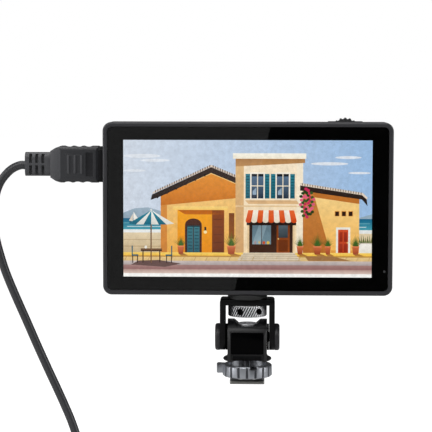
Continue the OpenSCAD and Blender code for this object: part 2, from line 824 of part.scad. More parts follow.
module power_button() color([0.14, 0.14, 0.15]) at_monitor()
    translate([button_x, dial_y, body_h / 2 - button_h + 0.1]) {
        linear_extrude(button_h) rounded(button_w, button_d, 0.9);
        // A flange inside keeps it in the housing
        linear_extrude(button_h - wall - 0.35) rounded(button_w + 1.6, button_d + 1, 0.9);
    }

module power_switch() color([0.5, 0.5, 0.52]) at_monitor()
    translate([button_x - 3, dial_y - 2, button_shelf_z()])
        cube([6, 4, button_switch_h - 0.3]);

// ---- Battery plate ----

module at_plate_screws() {
    for (x = [-1, 1], z = [-1, 1])
        translate([x * (plate_w / 2 - plate_screw_in), 0, plate_z + z * (plate_l / 2 - plate_screw_end)])
            children();
}

module battery_plate() color([0.09, 0.09, 0.1]) at_monitor() difference() {
    union() {
        translate([0, rear_y, plate_z]) slab(plate_w, plate_l, 1.5, plate_t);
        for (s = [-1, 1]) {
            translate([s * (cell_w + rail_t) / 2, rear_y + plate_t - eps, plate_z])
                bar(rail_t, plate_l - 3, rail_h + eps);
            // Lips that hook into the battery's grooves
            for (k = [-1, 0, 1])
                translate([s * (cell_w - lip_in) / 2, rear_y + plate_t + rail_h - lip_t,
                    plate_z + block_end / 2 + k * (rail_l - lip_l - 3) / 2])
                    bar(lip_in + 0.4, lip_l, lip_t);
        }
        // Block at the foot that carries the contacts
        translate([0, rear_y + plate_t - eps, plate_z - plate_l / 2 + block_end / 2 + 1])
            bar(26, block_end, rail_h + eps);
    }
    // Pocket for the latch
    translate([0, latch_floor_y(), latch_z]) slab(latch_w + 0.4, latch_l + 0.4, 1, plate_t + 2);
    at_plate_screws() translate([0, rear_y - 1, 0]) pin_y(small_screw_r + 0.2, plate_t + 2);
    at_plate_screws() translate([0, rear_y + plate_t - small_head_t - 0.3, 0])
        pin_y(small_head_r + 0.2, plate_t);
    // Slots for the contacts
    for (x = [-1, 0, 1])
        translate([x * 8 - 0.45, contact_y() - 1.2, plate_z - plate_l / 2 + 0.5])
            cube([0.9, 2.4, block_end + 1]);
}

function latch_floor_y() = rear_y + plate_t + latch_rise - latch_t - latch_press - 0.15;
function contact_y() = rear_y + plate_t + rail_h / 2;

module plate_screws() color([0.4, 0.4, 0.42]) at_monitor() at_plate_screws() {
    translate([0, skin_y - 1.5, 0]) pin_y(small_screw_r, plate_t + wall + 1.5 - small_head_t - 0.3);
    translate([0, rear_y + plate_t - small_head_t - 0.3, 0]) difference() {
        pin_y(small_head_r, small_head_t);
        for (a = [0, 90])
            rotate([0, a, 0]) translate([0, small_head_t - 0.6, 0]) bar(2.4, 0.6, 1);
    }
}

module battery_contacts() color([0.85, 0.7, 0.35]) at_monitor()
    for (x = [-1, 0, 1])
        translate([x * 8 - 0.4, contact_y() - 1.1, plate_z - plate_l / 2 + 0.8])
            cube([0.8, 2.2, block_end + 4]);

module battery_latch() color([0.16, 0.16, 0.17]) at_monitor()
    translate([0, rear_y + plate_t + latch_rise - latch_t, latch_z]) difference() {
        slab(latch_w, latch_l, 0.8, latch_t);
        // Finger grooves
        for (i = [-1:1])
            translate([0, latch_t + 0.5, 1 + i * 1.8]) rotate([0, 90, 0])
                cylinder(r = 0.9, h = latch_w - 3, center = true);
        // Sloping lead-in, so that the battery pushes it down
        translate([-latch_w, latch_t, -latch_l / 2 - 0.6]) rotate([35, 0, 0])
            translate([0, -0.2, -3]) cube([2 * latch_w, 4, 4.2]);
    }

// ---- Tilt arm ----

module mount_pad() color([0.06, 0.06, 0.06]) translate([0, 0, pad_z]) difference() {
    disc(pad_r, pad_t, 0.4);
    translate([0, 0, -1]) cylinder(r = screw_r + 0.3, h = pad_t + 2);
}

module tilt_bracket() color([0.08, 0.08, 0.09]) difference() {
    union() {
        // The bar, with rounded shoulders
        translate([0, bracket_d / 2, 0]) rotate([90, 0, 0]) linear_extrude(bracket_d) difference() {
            translate([0, pad_z - 10]) rounded(bracket_w, 20, shoulder_r);
            translate([-bracket_w, pad_z - 40]) square([2 * bracket_w, 40 - shoulder_drop]);
            translate([-ear_x_in, pad_z - 20]) square([2 * ear_x_in, 20 - bracket_t]);
        }
        // The legs, which end in round ears
        for (s = [-1, 1])
            translate([s * (bracket_w / 2 - bracket_t / 2) - bracket_t / 2, 0, 0]) prism_x(bracket_t) {
                translate([0, tilt_z]) circle(ear_r);
                translate([-ear_r, tilt_z]) square([2 * ear_r, pad_z - tilt_z - bracket_t]);
            }
    }
    translate([0, 0, bar_z - 1]) cylinder(r = screw_r + 0.3, h = bracket_t + 2);
    translate([-bracket_w, 0, tilt_z]) pin_x(pivot_r + 0.05, 2 * bracket_w);
}

module thumb_wheel() color([0.72, 0.73, 0.75]) translate([0, 0, wheel_z]) difference() {
    disc(wheel_r, wheel_h, 0.5);
    translate([0, 0, -1]) cylinder(r = screw_r, h = wheel_h + 2);
    for (i = [0:wheel_holes - 1])
        rotate([0, 0, -90 - 180 / wheel_holes + i * 360 / wheel_holes])
            translate([wheel_r - 3, 0, wheel_h / 2]) pin_x(wheel_hole_r, 4);
    // Shallow dish underneath
    translate([0, 0, -1]) cylinder(r = wheel_r - 2.4, h = 1.5);
}

module thumb_screw() color([0.6, 0.6, 0.62])
    translate([0, 0, wheel_z + 0.9]) cylinder(r = screw_r, h = body_z + bush_l - 0.6 - wheel_z - 0.9);

// ---- Swivel block ----

module block_side_profile() {
    intersection() {
        union() {
            translate([0, tilt_z]) circle(crown_r);
            translate([-block_d / 2, block_z]) square([block_d, tilt_z - block_z]);
        }
        translate([-block_d / 2, block_z]) square([block_d, tilt_h + crown_r]);
    }
}

module swivel_block() color([0.07, 0.07, 0.08]) difference() {
    union() {
        // Body: its side profile, with the corners bevelled
        intersection() {
            translate([-block_w / 2, 0, 0]) prism_x(block_w) block_side_profile();
            translate([0, 0, block_z]) linear_extrude(tilt_h + crown_r) let (c = 1.5)
                polygon([for (s = [[1, 1], [-1, 1], [-1, -1], [1, -1]], k = [0, 1])
                    let (first = (s[0] * s[1] > 0) == (k == 0))
                    [s[0] * (block_w / 2 - (first ? 0 : c)), s[1] * (block_d / 2 - (first ? c : 0))]]);
        }
        // Round flange, with a skirt that sweeps up to the sides
        translate([0, 0, block_z]) rotate_extrude()
            polygon([[0, 0], [flange_r - 0.4, 0], [flange_r, 0.4], [flange_r, flange_t - 0.3],
                [flange_r - 0.3, flange_t], [0, flange_t]]);
        intersection() {
            translate([0, 0, block_z + flange_t - eps]) rotate_extrude() difference() {
                square([flange_r - 0.3, skirt_h]);
                translate([flange_r + 0.2, skirt_h + 0.1]) circle(skirt_h);
            }
            translate([-flange_r, -block_d / 2 + 1.5, 0]) cube([2 * flange_r, block_d - 3, tilt_z]);
        }
    }
    // Saddle between the horns
    translate([0, block_d, 0]) rotate([90, 0, 0]) linear_extrude(2 * block_d)
        polygon([[-4.3, saddle_z], [4.3, saddle_z], [7.3, tilt_z + crown_r], [7.3, tilt_z + crown_r + 2],
            [-7.3, tilt_z + crown_r + 2], [-7.3, tilt_z + crown_r]]);
    // Well and bore for the swivel bolt
    translate([0, 0, head_well_z]) cylinder(r = head_well_r, h = 20);
    translate([0, 0, block_z - 1]) cylinder(r = shank_r + bore_gap, h = 40);
    // Pivot holes
    for (s = [0, 1])
        mirror([s, 0, 0]) translate([pivot_in - 0.2, 0, tilt_z]) pin_x(pivot_r + 0.02, 20);
    // Recess in the front for the cover
    translate([-front_cut_w / 2, -block_d / 2 - 1, front_cut_z])
        cube([front_cut_w, front_cut_depth + 1, front_cut_h]);
    // Slot under the cover, which opens through the flange
    translate([-slot_w / 2, -flange_r - 1, block_z - 1])
        cube([slot_w, flange_r + 1 - block_d / 2 + slot_depth, front_cut_z - slot_rib - block_z + 1]);
}

module block_cover() color([0.02, 0.02, 0.02])
    translate([0, -block_d / 2 + front_cut_depth - cover_t - 0.02, front_cut_z + front_cut_h / 2])
        slab(front_cut_w - 0.2, front_cut_h - 0.2, 0.5, cover_t);

module pivot_screw() {
    translate([pivot_in, 0, tilt_z]) pin_x(pivot_r, cap_x + 1 - pivot_in);
}

module pivot_screw_left() color("silver") mirror([1, 0, 0]) pivot_screw();

module pivot_screw_right() color("silver") pivot_screw();

module pivot_cap() {
    translate([cap_x, 0, tilt_z]) rotate([0, 90, 0]) difference() {
        rotate_extrude() {
            square([cap_r - 1.3, cap_t]);
            square([cap_r, cap_t - 1.3]);
            translate([cap_r - 1.3, cap_t - 1.3]) circle(1.3);
        }
        translate([0, 0, -1]) cylinder(r = pivot_r + 0.01, h = 2.02);
        // Hexagon socket
        translate([0, 0, 1.5]) cylinder(r = 1.6, h = cap_t, $fn = 6);
        // Flat inner face with a fine groove round it
        translate([0, 0, -2]) cylinder(r = cap_r + 1, h = 2);
    }
}

module pivot_cap_left() color([0.08, 0.08, 0.09]) mirror([1, 0, 0]) pivot_cap();

module pivot_cap_right() color([0.08, 0.08, 0.09]) pivot_cap();

module friction_washers() color([0.12, 0.12, 0.12])
    for (s = [0, 1])
        mirror([s, 0, 0]) translate([washer_x, 0, tilt_z]) difference() {
            pin_x(ear_r, washer_t);
            translate([-1, 0, 0]) pin_x(pivot_r + 0.01, washer_t + 2);
        }

// ---- Foot, bolt and lock ring ----

module swivel_bolt() color([0.75, 0.75, 0.77]) difference() {
    union() {
        translate([0, 0, head_well_z + swivel_washer_t + 0.04]) disc(head_r, head_t, 0.3);
        translate([0, 0, foot_t + 0.6])
            cylinder(r = shank_r, h = head_well_z + swivel_washer_t + 0.2 - foot_t - 0.6);
    }
    translate([0, 0, head_well_z + swivel_washer_t + 0.04 + 0.6]) cylinder(r = head_key_r, h = head_t, $fn = 6);
}

module swivel_washer() color([0.5, 0.5, 0.5]) translate([0, 0, head_well_z + 0.02]) difference() {
    cylinder(r = head_r, h = swivel_washer_t);
    translate([0, 0, -1]) cylinder(r = shank_r + 0.01, h = 3);
}

module lock_ring() color([0.74, 0.75, 0.78]) translate([0, 0, ring_z]) difference() {
    union() {
        disc(ring_r, ring_h, 0.6);
        // Thumb lobe
        translate([0, 0, ring_h - lobe_h]) linear_extrude(lobe_h) intersection() {
            polygon([[0, 0], [-lobe_reach, lobe_half], [-lobe_reach, -lobe_half]]);
            circle(lobe_reach);
        }
    }
    // Broad flutes round the rim
    for (i = [0:flute_count - 1])
        rotate([0, 0, (i + 0.5) * 360 / flute_count]) translate([ring_r + 0.55, 0, -1])
            cylinder(r = 0.95, h = ring_h + 2);
    // Open cup on top, and the hole for the post
    translate([0, 0, hub_top - ring_z]) cylinder(r = cup_r, h = ring_h);
    translate([0, 0, -1]) cylinder(r = post_r + run_gap, h = ring_h + 2);
    // Notch in the wall
    rotate([0, 0, 12]) translate([-1.2, -ring_r - 2, ring_h - notch_h]) cube([3.9, ring_r, 3]);
}

module shoe_foot() color([0.72, 0.72, 0.74]) difference() {
    union() {
        linear_extrude(foot_t) rounded(foot_w, foot_w - 0.6, 1);
        cylinder(r = rail_neck_r, h = foot_t + rail_gap - 0.15);
        cylinder(r = post_r, h = hub_top + 0.3);
        cylinder(r = neck_r, h = block_z - 0.05);
    }
    translate([0, 0, foot_t + 0.5]) cylinder(r = shank_r + 0.01, h = 40);
}

// ---- Lead ----

module plug_shell() color([0.8, 0.8, 0.82]) at_monitor()
    translate([-body_w / 2 - collar_gap - 1, socket_y, input_z]) difference() {
        prism_x(collar_gap + 1 + 10.9) polygon(plug_outline(0));
        translate([-1, 0, 0]) prism_x(20) polygon(plug_outline(-0.35));
    }

// The moulded grip's outline from the side: straight, then tapered towards the lead
module grip_outline() {
    half = [[0, grip_w / 2], [-grip_l, grip_w / 2], [-grip_l - 0.45 * taper_l, grip_w / 2 - 0.9],
        [-grip_l - taper_l, boot_w / 2 + 0.7]];
    polygon(concat(half, [for (i = [3:-1:0]) [half[i][0], -half[i][1]]]));
}

module plug_grip() color([0.16, 0.16, 0.17]) at_monitor() translate([grip_x, socket_y, input_z]) {
    difference() {
        intersection() {
            translate([0, grip_t / 2, 0]) rotate([90, 0, 0]) linear_extrude(grip_t) difference() {
                grip_outline();
                // Finger scallops along both edges
                for (i = [0:2], s = [-1, 1])
                    translate([-5.8 - i * scallop_pitch, s * (grip_w / 2 + 3.6)]) circle(4.2);
            }
            // From above: rounded flanks
            translate([0, 0, -grip_w / 2]) linear_extrude(grip_w) polygon([[0, -grip_t / 2 + 0.8],
                [-1.2, -grip_t / 2], [-grip_l, -grip_t / 2], [-grip_l - taper_l, -boot_t / 2],
                [-grip_l - taper_l, boot_t / 2], [-grip_l, grip_t / 2], [-1.2, grip_t / 2],
                [0, grip_t / 2 - 0.8]]);
            prism_grip();
        }
        // Recessed thumb mark on the front
        translate([-4.7, -grip_t / 2 - 1, 0]) bar(3.9, 12.8, 1.3);
    }
    // Three low ribs on the front and on the back
    for (i = [0:2], s = [0, 1])
        mirror([0, s, 0]) translate([-9 - i * rib_pitch, -grip_t / 2 - rib_rise, 0])
            slab(rib_w, 9.9, rib_w / 2 - 0.05, rib_rise + 0.3);
    // Collar against the housing, round the metal shell
    difference() {
        translate([-eps, 0, 0]) prism_x(collar_l) rounded(10.2, grip_w - 0.6, 2.4);
        translate([collar_l - 1, 0, 0]) prism_x(2) polygon(plug_outline(eps));
    }
}

// The grip's section, with rounded corners
module prism_grip() {
    translate([-grip_l - taper_l, 0, 0]) prism_x(grip_l + taper_l) rounded(grip_t, grip_w, 2.6);
}

module plug_boot() color([0.14, 0.14, 0.15]) at_monitor() translate([boot_x, socket_y, input_z]) difference() {
    translate([-boot_l, 0, 0]) prism_x(boot_l) rounded(boot_t, boot_w, 3.2);
    // Slots on both sides of a spine, in front and behind, that let the boot bend
    for (i = [0:2], s = [-1, 1], f = [-1, 1])
        translate([-3.95 - i * slot_pitch, f * boot_t / 2, s * (spine_h + boot_slot_h) / 2])
            cube([boot_slot_w, 2 * boot_slot_depth, boot_slot_h], center = true);
}

// A tube of n sides round a list of points, capped at both ends
module tube(points, r, n) {
    last = len(points) - 1;
    rings = [for (i = [0:last]) let (
        a = points[max(0, i - 1)],
        b = points[min(last, i + 1)],
        t = (b - a) / norm(b - a),
        u = cross(t, [0, 1, 0]) / norm(cross(t, [0, 1, 0])),
        v = cross(t, u))
        for (k = [0:n - 1]) points[i] + r * (cos(k * 360 / n) * u + sin(k * 360 / n) * v)];
    sides = [for (i = [0:last - 1], k = [0:n - 1]) let (m = (k + 1) % n)
        each [[i * n + k, i * n + m, (i + 1) * n + m], [i * n + k, (i + 1) * n + m, (i + 1) * n + k]]];
    caps = [[for (k = [n - 1:-1:0]) k], [for (k = [0:n - 1]) last * n + k]];
    polyhedron(points = rings, faces = concat(sides, caps));
}

module picture_lead() color([0.12, 0.12, 0.13]) tube(route, lead_d / 2, lead_sides);

module camera_plug_boot() color([0.14, 0.14, 0.15]) translate([end_x, end_y, end_z - mini_boot_l]) {
    cylinder(r1 = 4.1, r2 = lead_d / 2 + 0.9, h = mini_boot_l);
}

module camera_plug_grip() color([0.16, 0.16, 0.17])
    translate([end_x, end_y, end_z - mini_boot_l - mini_grip_l])
        linear_extrude(mini_grip_l) rounded(13, 8.6, 2);

module camera_plug_shell() color([0.8, 0.8, 0.82])
    translate([end_x, end_y, end_z - mini_boot_l - mini_grip_l - mini_shell_l])
        linear_extrude(mini_shell_l) rounded(6.4, 2.8, 0.6);

front_frame();
rear_cover();
cover_glass();
border_mask();
glass_gasket();
display_panel();
backlight();
panel_chassis();
chassis_screws();
main_board();
heat_sink();
fan_frame();
fan_rotor();
picture_input();
picture_output();
headphone_jack();
power_jack();
update_socket();
light_sensor();
housing_screws();
menu_dial();
dial_carriage();
dial_axle();
dial_switch();
dial_spring();
power_button();
power_switch();
battery_plate();
plate_screws();
battery_contacts();
battery_latch();
bottom_bush();
side_bush();
mount_pad();
tilt_bracket();
thumb_wheel();
thumb_screw();
swivel_block();
block_cover();
pivot_screw_left();
pivot_screw_right();
pivot_cap_left();
pivot_cap_right();
friction_washers();
swivel_bolt();
swivel_washer();
lock_ring();
shoe_foot();
plug_shell();
plug_grip();
plug_boot();
picture_lead();
camera_plug_boot();
camera_plug_grip();
camera_plug_shell();
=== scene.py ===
"""Looks for a camera field monitor on a swivelling tilt arm, with its picture lead plugged in.

Everything is in metres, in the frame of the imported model: +Z up, the screen faces -Y.
"""
import json
import math

import bmesh
import bpy
from mathutils import Euler, Matrix, Vector

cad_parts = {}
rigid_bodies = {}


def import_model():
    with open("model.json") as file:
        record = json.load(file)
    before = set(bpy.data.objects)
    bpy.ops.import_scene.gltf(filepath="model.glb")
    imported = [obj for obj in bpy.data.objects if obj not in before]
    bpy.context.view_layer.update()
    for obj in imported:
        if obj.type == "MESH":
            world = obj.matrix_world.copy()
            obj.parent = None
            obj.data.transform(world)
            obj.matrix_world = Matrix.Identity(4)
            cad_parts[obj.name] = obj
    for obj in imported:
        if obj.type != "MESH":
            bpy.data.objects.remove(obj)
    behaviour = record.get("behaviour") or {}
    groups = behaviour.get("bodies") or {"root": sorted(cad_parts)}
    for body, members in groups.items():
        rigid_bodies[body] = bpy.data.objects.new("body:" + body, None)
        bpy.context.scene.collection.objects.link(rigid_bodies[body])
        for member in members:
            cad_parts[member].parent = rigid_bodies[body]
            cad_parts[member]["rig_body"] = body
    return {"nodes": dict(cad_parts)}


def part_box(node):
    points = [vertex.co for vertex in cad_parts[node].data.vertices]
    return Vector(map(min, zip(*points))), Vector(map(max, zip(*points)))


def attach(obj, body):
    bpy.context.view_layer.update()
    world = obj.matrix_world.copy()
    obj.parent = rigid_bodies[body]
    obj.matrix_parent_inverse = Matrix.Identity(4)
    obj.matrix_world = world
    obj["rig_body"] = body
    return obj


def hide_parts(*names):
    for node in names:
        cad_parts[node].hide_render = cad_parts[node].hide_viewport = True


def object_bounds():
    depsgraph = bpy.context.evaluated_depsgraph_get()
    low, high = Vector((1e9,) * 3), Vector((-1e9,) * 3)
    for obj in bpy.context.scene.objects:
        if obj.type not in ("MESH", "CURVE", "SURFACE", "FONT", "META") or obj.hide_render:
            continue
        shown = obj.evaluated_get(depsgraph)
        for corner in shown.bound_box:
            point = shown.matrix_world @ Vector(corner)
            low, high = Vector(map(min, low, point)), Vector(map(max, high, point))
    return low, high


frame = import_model()
NODES = frame["nodes"]
cad_low, cad_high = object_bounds()
MM = 0.001


def placed(name, data):
    """A new object in the scene."""
    thing = bpy.data.objects.new(name, data)
    bpy.context.scene.collection.objects.link(thing)
    return thing


# ---- Camera ----

PHOTO_PX = 432
FOCAL_PX = 1678.6
SENSOR = 36.0
CAMERA_TARGET = Vector((-0.01702, 0, 0.08952))
CAMERA_RANGE = 0.900
CAMERA_PITCH = math.radians(4.4)
CAMERA_YAW = math.radians(1.6)
CAMERA_ROLL = math.radians(0.1)


def camera_place():
    """The camera's position and its turn."""
    forward = Vector((-math.sin(CAMERA_YAW) * math.cos(CAMERA_PITCH),
                      math.cos(CAMERA_YAW) * math.cos(CAMERA_PITCH),
                      -math.sin(CAMERA_PITCH)))
    turn = forward.to_track_quat("-Z", "Y") @ Euler((0, 0, CAMERA_ROLL)).to_quaternion()
    return CAMERA_TARGET - forward * CAMERA_RANGE, turn


def make_camera():
    data = bpy.data.cameras.new("camera")
    data.sensor_width = SENSOR
    data.lens = SENSOR * FOCAL_PX / PHOTO_PX
    camera = placed("camera", data)
    camera.rotation_mode = "QUATERNION"
    camera.location, camera.rotation_quaternion = camera_place()
    bpy.context.scene.camera = camera


# ---- Helpers for modelling ----


def select_only(piece):
    """Leaves one object selected and active."""
    bpy.ops.object.select_all(action="DESELECT")
    piece.select_set(True)
    bpy.context.view_layer.objects.active = piece


def edit(piece):
    """Opens a piece in edit mode with all of it selected."""
    select_only(piece)
    bpy.ops.object.mode_set(mode="EDIT")
    bpy.ops.mesh.select_all(action="SELECT")


def close_edit():
    bpy.ops.object.mode_set(mode="OBJECT")


def apply_all(piece):
    """Applies every modifier of a piece."""
    select_only(piece)
    for modifier in list(piece.modifiers):
        bpy.ops.object.modifier_apply(modifier=modifier.name)


def settle(piece):
    """Moves a piece's place into its mesh, so that its object sits at the origin."""
    select_only(piece)
    bpy.ops.object.transform_apply(location=True, rotation=True, scale=True)


def smooth(piece, degrees=32):
    select_only(piece)
    bpy.ops.object.shade_smooth_by_angle(angle=math.radians(degrees))


def finish_piece(piece, body, finish):
    """Gives a piece its body and its material."""
    piece.data.materials.clear()
    piece.data.materials.append(finish)
    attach(piece, body)


def body_of(node):
    return NODES[node]["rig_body"]


def dressed(node, finish, edge):
    """A copy of a node with its edges softly rounded, which stands for the node."""
    piece = placed(node + "_skin", NODES[node].data.copy())
    edit(piece)
    bpy.ops.mesh.customdata_custom_splitnormals_clear()
    bpy.ops.mesh.remove_doubles(threshold=0.001 * MM)
    bpy.ops.mesh.dissolve_limited(angle_limit=math.radians(0.6))
    close_edit()
    bevel = piece.modifiers.new("edges", "BEVEL")
    bevel.width = edge
    bevel.segments = 2
    bevel.limit_method = "ANGLE"
    bevel.angle_limit = math.radians(28)
    bevel.use_clamp_overlap = True
    apply_all(piece)
    smooth(piece)
    finish_piece(piece, body_of(node), finish)
    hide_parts(node)
    return piece


def mark_faces(piece, finish, wanted):
    """Gives another finish to the faces that a test on their middle and normal accepts."""
    piece.data.materials.append(MATERIALS[finish])
    index = len(piece.data.materials) - 1
    for face in piece.data.polygons:
        if wanted(face.center, face.normal):
            face.material_index = index


# ---- Shader nodes ----


def feed(tree, socket, value):
    """Gives a socket a plain value, or a link from another node's socket."""
    if isinstance(value, bpy.types.NodeSocket):
        tree.links.new(value, socket)
    else:
        socket.default_value = value


def maths(tree, operation, *values):
    node = tree.nodes.new("ShaderNodeMath")
    node.operation = operation
    for socket, value in zip(node.inputs, values):
        feed(tree, socket, value)
    return node.outputs[0]


def ranged(tree, value, low, high, to_low, to_high):
    """A value between low and high, carried over to another range."""
    node = tree.nodes.new("ShaderNodeMapRange")
    for socket, number in zip(node.inputs, (value, low, high, to_low, to_high)):
        feed(tree, socket, number)
    return node.outputs["Result"]


def blend(tree, share, first, second):
    """A number that goes from the first to the second with the share."""
    node = tree.nodes.new("ShaderNodeMix")
    node.data_type = "FLOAT"
    for label, value in (("Factor", share), ("A", first), ("B", second)):
        feed(tree, node.inputs[label], value)
    return node.outputs["Result"]


def tinted(tree, colour, level):
    """A colour made darker or lighter by a level."""
    node = tree.nodes.new("ShaderNodeVectorMath")
    node.operation = "SCALE"
    tree.links.new(colour, node.inputs[0])
    tree.links.new(level, node.inputs["Scale"])
    return node.outputs[0]


def object_place(tree):
    return tree.nodes.new("ShaderNodeTexCoord").outputs["Object"]


def noise(tree, place, scale, detail, roughness=0.6):
    node = tree.nodes.new("ShaderNodeTexNoise")
    for label, value in (("Vector", place), ("Scale", scale), ("Detail", detail), ("Roughness", roughness)):
        feed(tree, node.inputs[label], value)
    return node.outputs["Fac"]


def new_group(name, own_inputs):
    """A shader group with the sockets that every finish has, and some of its own."""
    group = bpy.data.node_groups.new(name, "ShaderNodeTree")
    shared = [("Colour", "Color"), ("Roughness", "Float"), ("Depth", "Float"), ("Colour Spread", "Float"),
              ("Roughness Spread", "Float")]
    for label, kind in shared + own_inputs:
        group.interface.new_socket(label, in_out="INPUT", socket_type="NodeSocket" + kind)
    for label, kind in (("Colour", "Color"), ("Roughness", "Float"), ("Normal", "Vector")):
        group.interface.new_socket(label, in_out="OUTPUT", socket_type="NodeSocket" + kind)
    return group, group.nodes.new("NodeGroupInput"), group.nodes.new("NodeGroupOutput")


def vary(group, start, end, wander, height, bump_distance):
    """Lets the roughness follow a wander about zero, and the colour and the bump a height about a half."""
    given = start.outputs
    rough = maths(group, "MULTIPLY_ADD", wander, given["Roughness Spread"], given["Roughness"])
    speck = maths(group, "MULTIPLY_ADD", maths(group, "SUBTRACT", height, 0.5), given["Colour Spread"], 1.0)
    bump = group.nodes.new("ShaderNodeBump")
    bump.inputs["Distance"].default_value = bump_distance
    group.links.new(given["Depth"], bump.inputs["Strength"])
    group.links.new(height, bump.inputs["Height"])
    group.links.new(tinted(group, given["Colour"], speck), end.inputs["Colour"])
    group.links.new(rough, end.inputs["Roughness"])
    group.links.new(bump.outputs["Normal"], end.inputs["Normal"])


def grain_group():
    """Fine moulded or bead-blasted grain, over a roughness that wanders slowly."""
    group, start, end = new_group("surface_grain", [("Grain Scale", "Float")])
    place = object_place(group)
    fine = noise(group, place, start.outputs["Grain Scale"], 2.0)
    broad = noise(group, place, 55, 4.0)
    wander = maths(group, "MULTIPLY", maths(group, "SUBTRACT", broad, 0.5), 2.0)
    vary(group, start, end, wander, fine, 0.05 * MM)
    return group


def brushing_group():
    """Lines left by turning or brushing: noise stretched along one direction."""
    group, start, end = new_group("turned_lines", [("Stretch", "Vector"), ("Line Scale", "Float")])
    stretched = group.nodes.new("ShaderNodeVectorMath")
    stretched.operation = "MULTIPLY"
    group.links.new(object_place(group), stretched.inputs[0])
    group.links.new(start.outputs["Stretch"], stretched.inputs[1])
    lines = noise(group, stretched.outputs[0], start.outputs["Line Scale"], 3.0, 0.7)
    vary(group, start, end, maths(group, "SUBTRACT", lines, 0.5), lines, 0.04 * MM)
    return group


GRAIN = grain_group()
BRUSHING = brushing_group()


def new_material(name):
    """A material with a bare Principled BSDF."""
    material = bpy.data.materials.new(name)
    material.use_nodes = True
    return material, material.node_tree, material.node_tree.nodes["Principled BSDF"]


def grouped(name, group, metallic, specular, values):
    """A material whose colour, roughness and normal come from a shared group."""
    material, tree, shader = new_material(name)
    node = tree.nodes.new("ShaderNodeGroup")
    node.node_tree = group
    for label, value in values.items():
        node.inputs[label].default_value = value
    for output, label in (("Colour", "Base Color"), ("Roughness", "Roughness"), ("Normal", "Normal")):
        tree.links.new(node.outputs[output], shader.inputs[label])
    shader.inputs["Metallic"].default_value = metallic
    shader.inputs["Specular IOR Level"].default_value = specular
    return material


def grained(name, colour, roughness, scale, depth, specular=0.5, metallic=0.0, colour_spread=0.25,
            roughness_spread=0.05):
    """A moulded, rubbery or anodised finish with fine grain."""
    return grouped(name, GRAIN, metallic, specular, {
        "Colour": (*colour, 1), "Roughness": roughness, "Grain Scale": scale, "Depth": depth,
        "Colour Spread": colour_spread, "Roughness Spread": roughness_spread})


def brushed(name, colour, roughness, stretch, scale=300.0, depth=0.2):
    """A metal with fine machining lines."""
    return grouped(name, BRUSHING, 1.0, 0.5, {
        "Colour": (*colour, 1), "Roughness": roughness, "Stretch": stretch, "Line Scale": scale, "Depth": depth,
        "Colour Spread": 0.12, "Roughness Spread": 0.2})


def clear_glass():
    material, _, shader = new_material("cover_glass")
    for label, value in (("Base Color", (0.96, 0.97, 0.97, 1)), ("Roughness", 0.0), ("IOR", 1.5),
                         ("Transmission Weight", 1.0)):
        shader.inputs[label].default_value = value
    return material


# Colour, roughness, grain scale, depth, then where they differ from most: specular, metallic and the spreads
GRAINED = {
    "frame_plastic": ((0.032, 0.032, 0.036), 0.42, 2600, 0.25),
    "cover_plastic": ((0.022, 0.022, 0.024), 0.5, 1500, 0.6),
    "control_plastic": ((0.018, 0.018, 0.02), 0.42, 2600, 0.25),
    "inner_plastic": ((0.02, 0.02, 0.02), 0.55, 2000, 0.3),
    "plug_plastic": ((0.033, 0.034, 0.038), 0.38, 2200, 0.3),
    "boot_plastic_and_painted_highlight": ((0.07, 0.071, 0.077), 0.42, 2200, 0.3),
    "lead_jacket": ((0.045, 0.046, 0.05), 0.25, 2200, 0.15),
    "black_anodised": ((0.0035, 0.0034, 0.004), 0.33, 3500, 0.25, 0.42, 0.0, 0.3),
    "cap_plastic": ((0.022, 0.021, 0.024), 0.4, 3000, 0.25),
    "black_gloss": ((0.0008, 0.0008, 0.001), 0.16, 900, 0.04, 0.04, 0.0, 0.1, 0.03),
    "bracket_anodised": ((0.002, 0.0019, 0.0023), 0.36, 3500, 0.25, 0.2, 0.0, 0.3),
    "shaded_plastic": ((0.004, 0.004, 0.005), 0.5, 2200, 0.3, 0.25),
    "recess_painted_shade": ((0.014, 0.0142, 0.017), 0.5, 2200, 0.4, 0.3),
    "border_print": ((0.0015, 0.0015, 0.0015), 0.7, 900, 0.02, 0.0),
    "rubber": ((0.013, 0.013, 0.013), 0.7, 1800, 0.6),
    "silver_anodised": ((0.5, 0.52, 0.56), 0.36, 4000, 0.3, 0.5, 1.0, 0.12, 0.06),
    "black_screw": ((0.02, 0.02, 0.02), 0.4, 3000, 0.3, 0.5, 0.6),
    "circuit_board": ((0.008, 0.07, 0.035), 0.3, 700, 0.2),
    "diffuser": ((0.75, 0.75, 0.73), 0.6, 1200, 0.2),
    "sensor_lens": ((0.16, 0.16, 0.17), 0.25, 1200, 0.1),
}
ALONG_Z = (1, 1, 0.03)
NO_WAY = (1, 1, 1)
# Colour, roughness, the way the lines run, their scale and depth
BRUSHED = {
    "flute_shade": ((0.1, 0.104, 0.115), 0.4, ALONG_Z),
    "turned_silver": ((0.86, 0.86, 0.875), 0.46, ALONG_Z),
    "groove_shade": ((0.05, 0.05, 0.055), 0.5, ALONG_Z),
    "foot_steel": ((0.3, 0.3, 0.285), 0.34, NO_WAY, 900, 0.12),
    "plated_steel": ((0.6, 0.59, 0.57), 0.24, NO_WAY, 900, 0.12),
    "plain_aluminium": ((0.72, 0.72, 0.74), 0.35, ALONG_Z, 500),
    "gold_contact": ((0.85, 0.62, 0.25), 0.2, NO_WAY, 900, 0.1),
}
MATERIALS = {name: grained(name, *values) for name, values in GRAINED.items()}
MATERIALS.update({name: brushed(name, *values) for name, values in BRUSHED.items()})
MATERIALS["cover_glass"] = clear_glass()

# ---- The lead ----

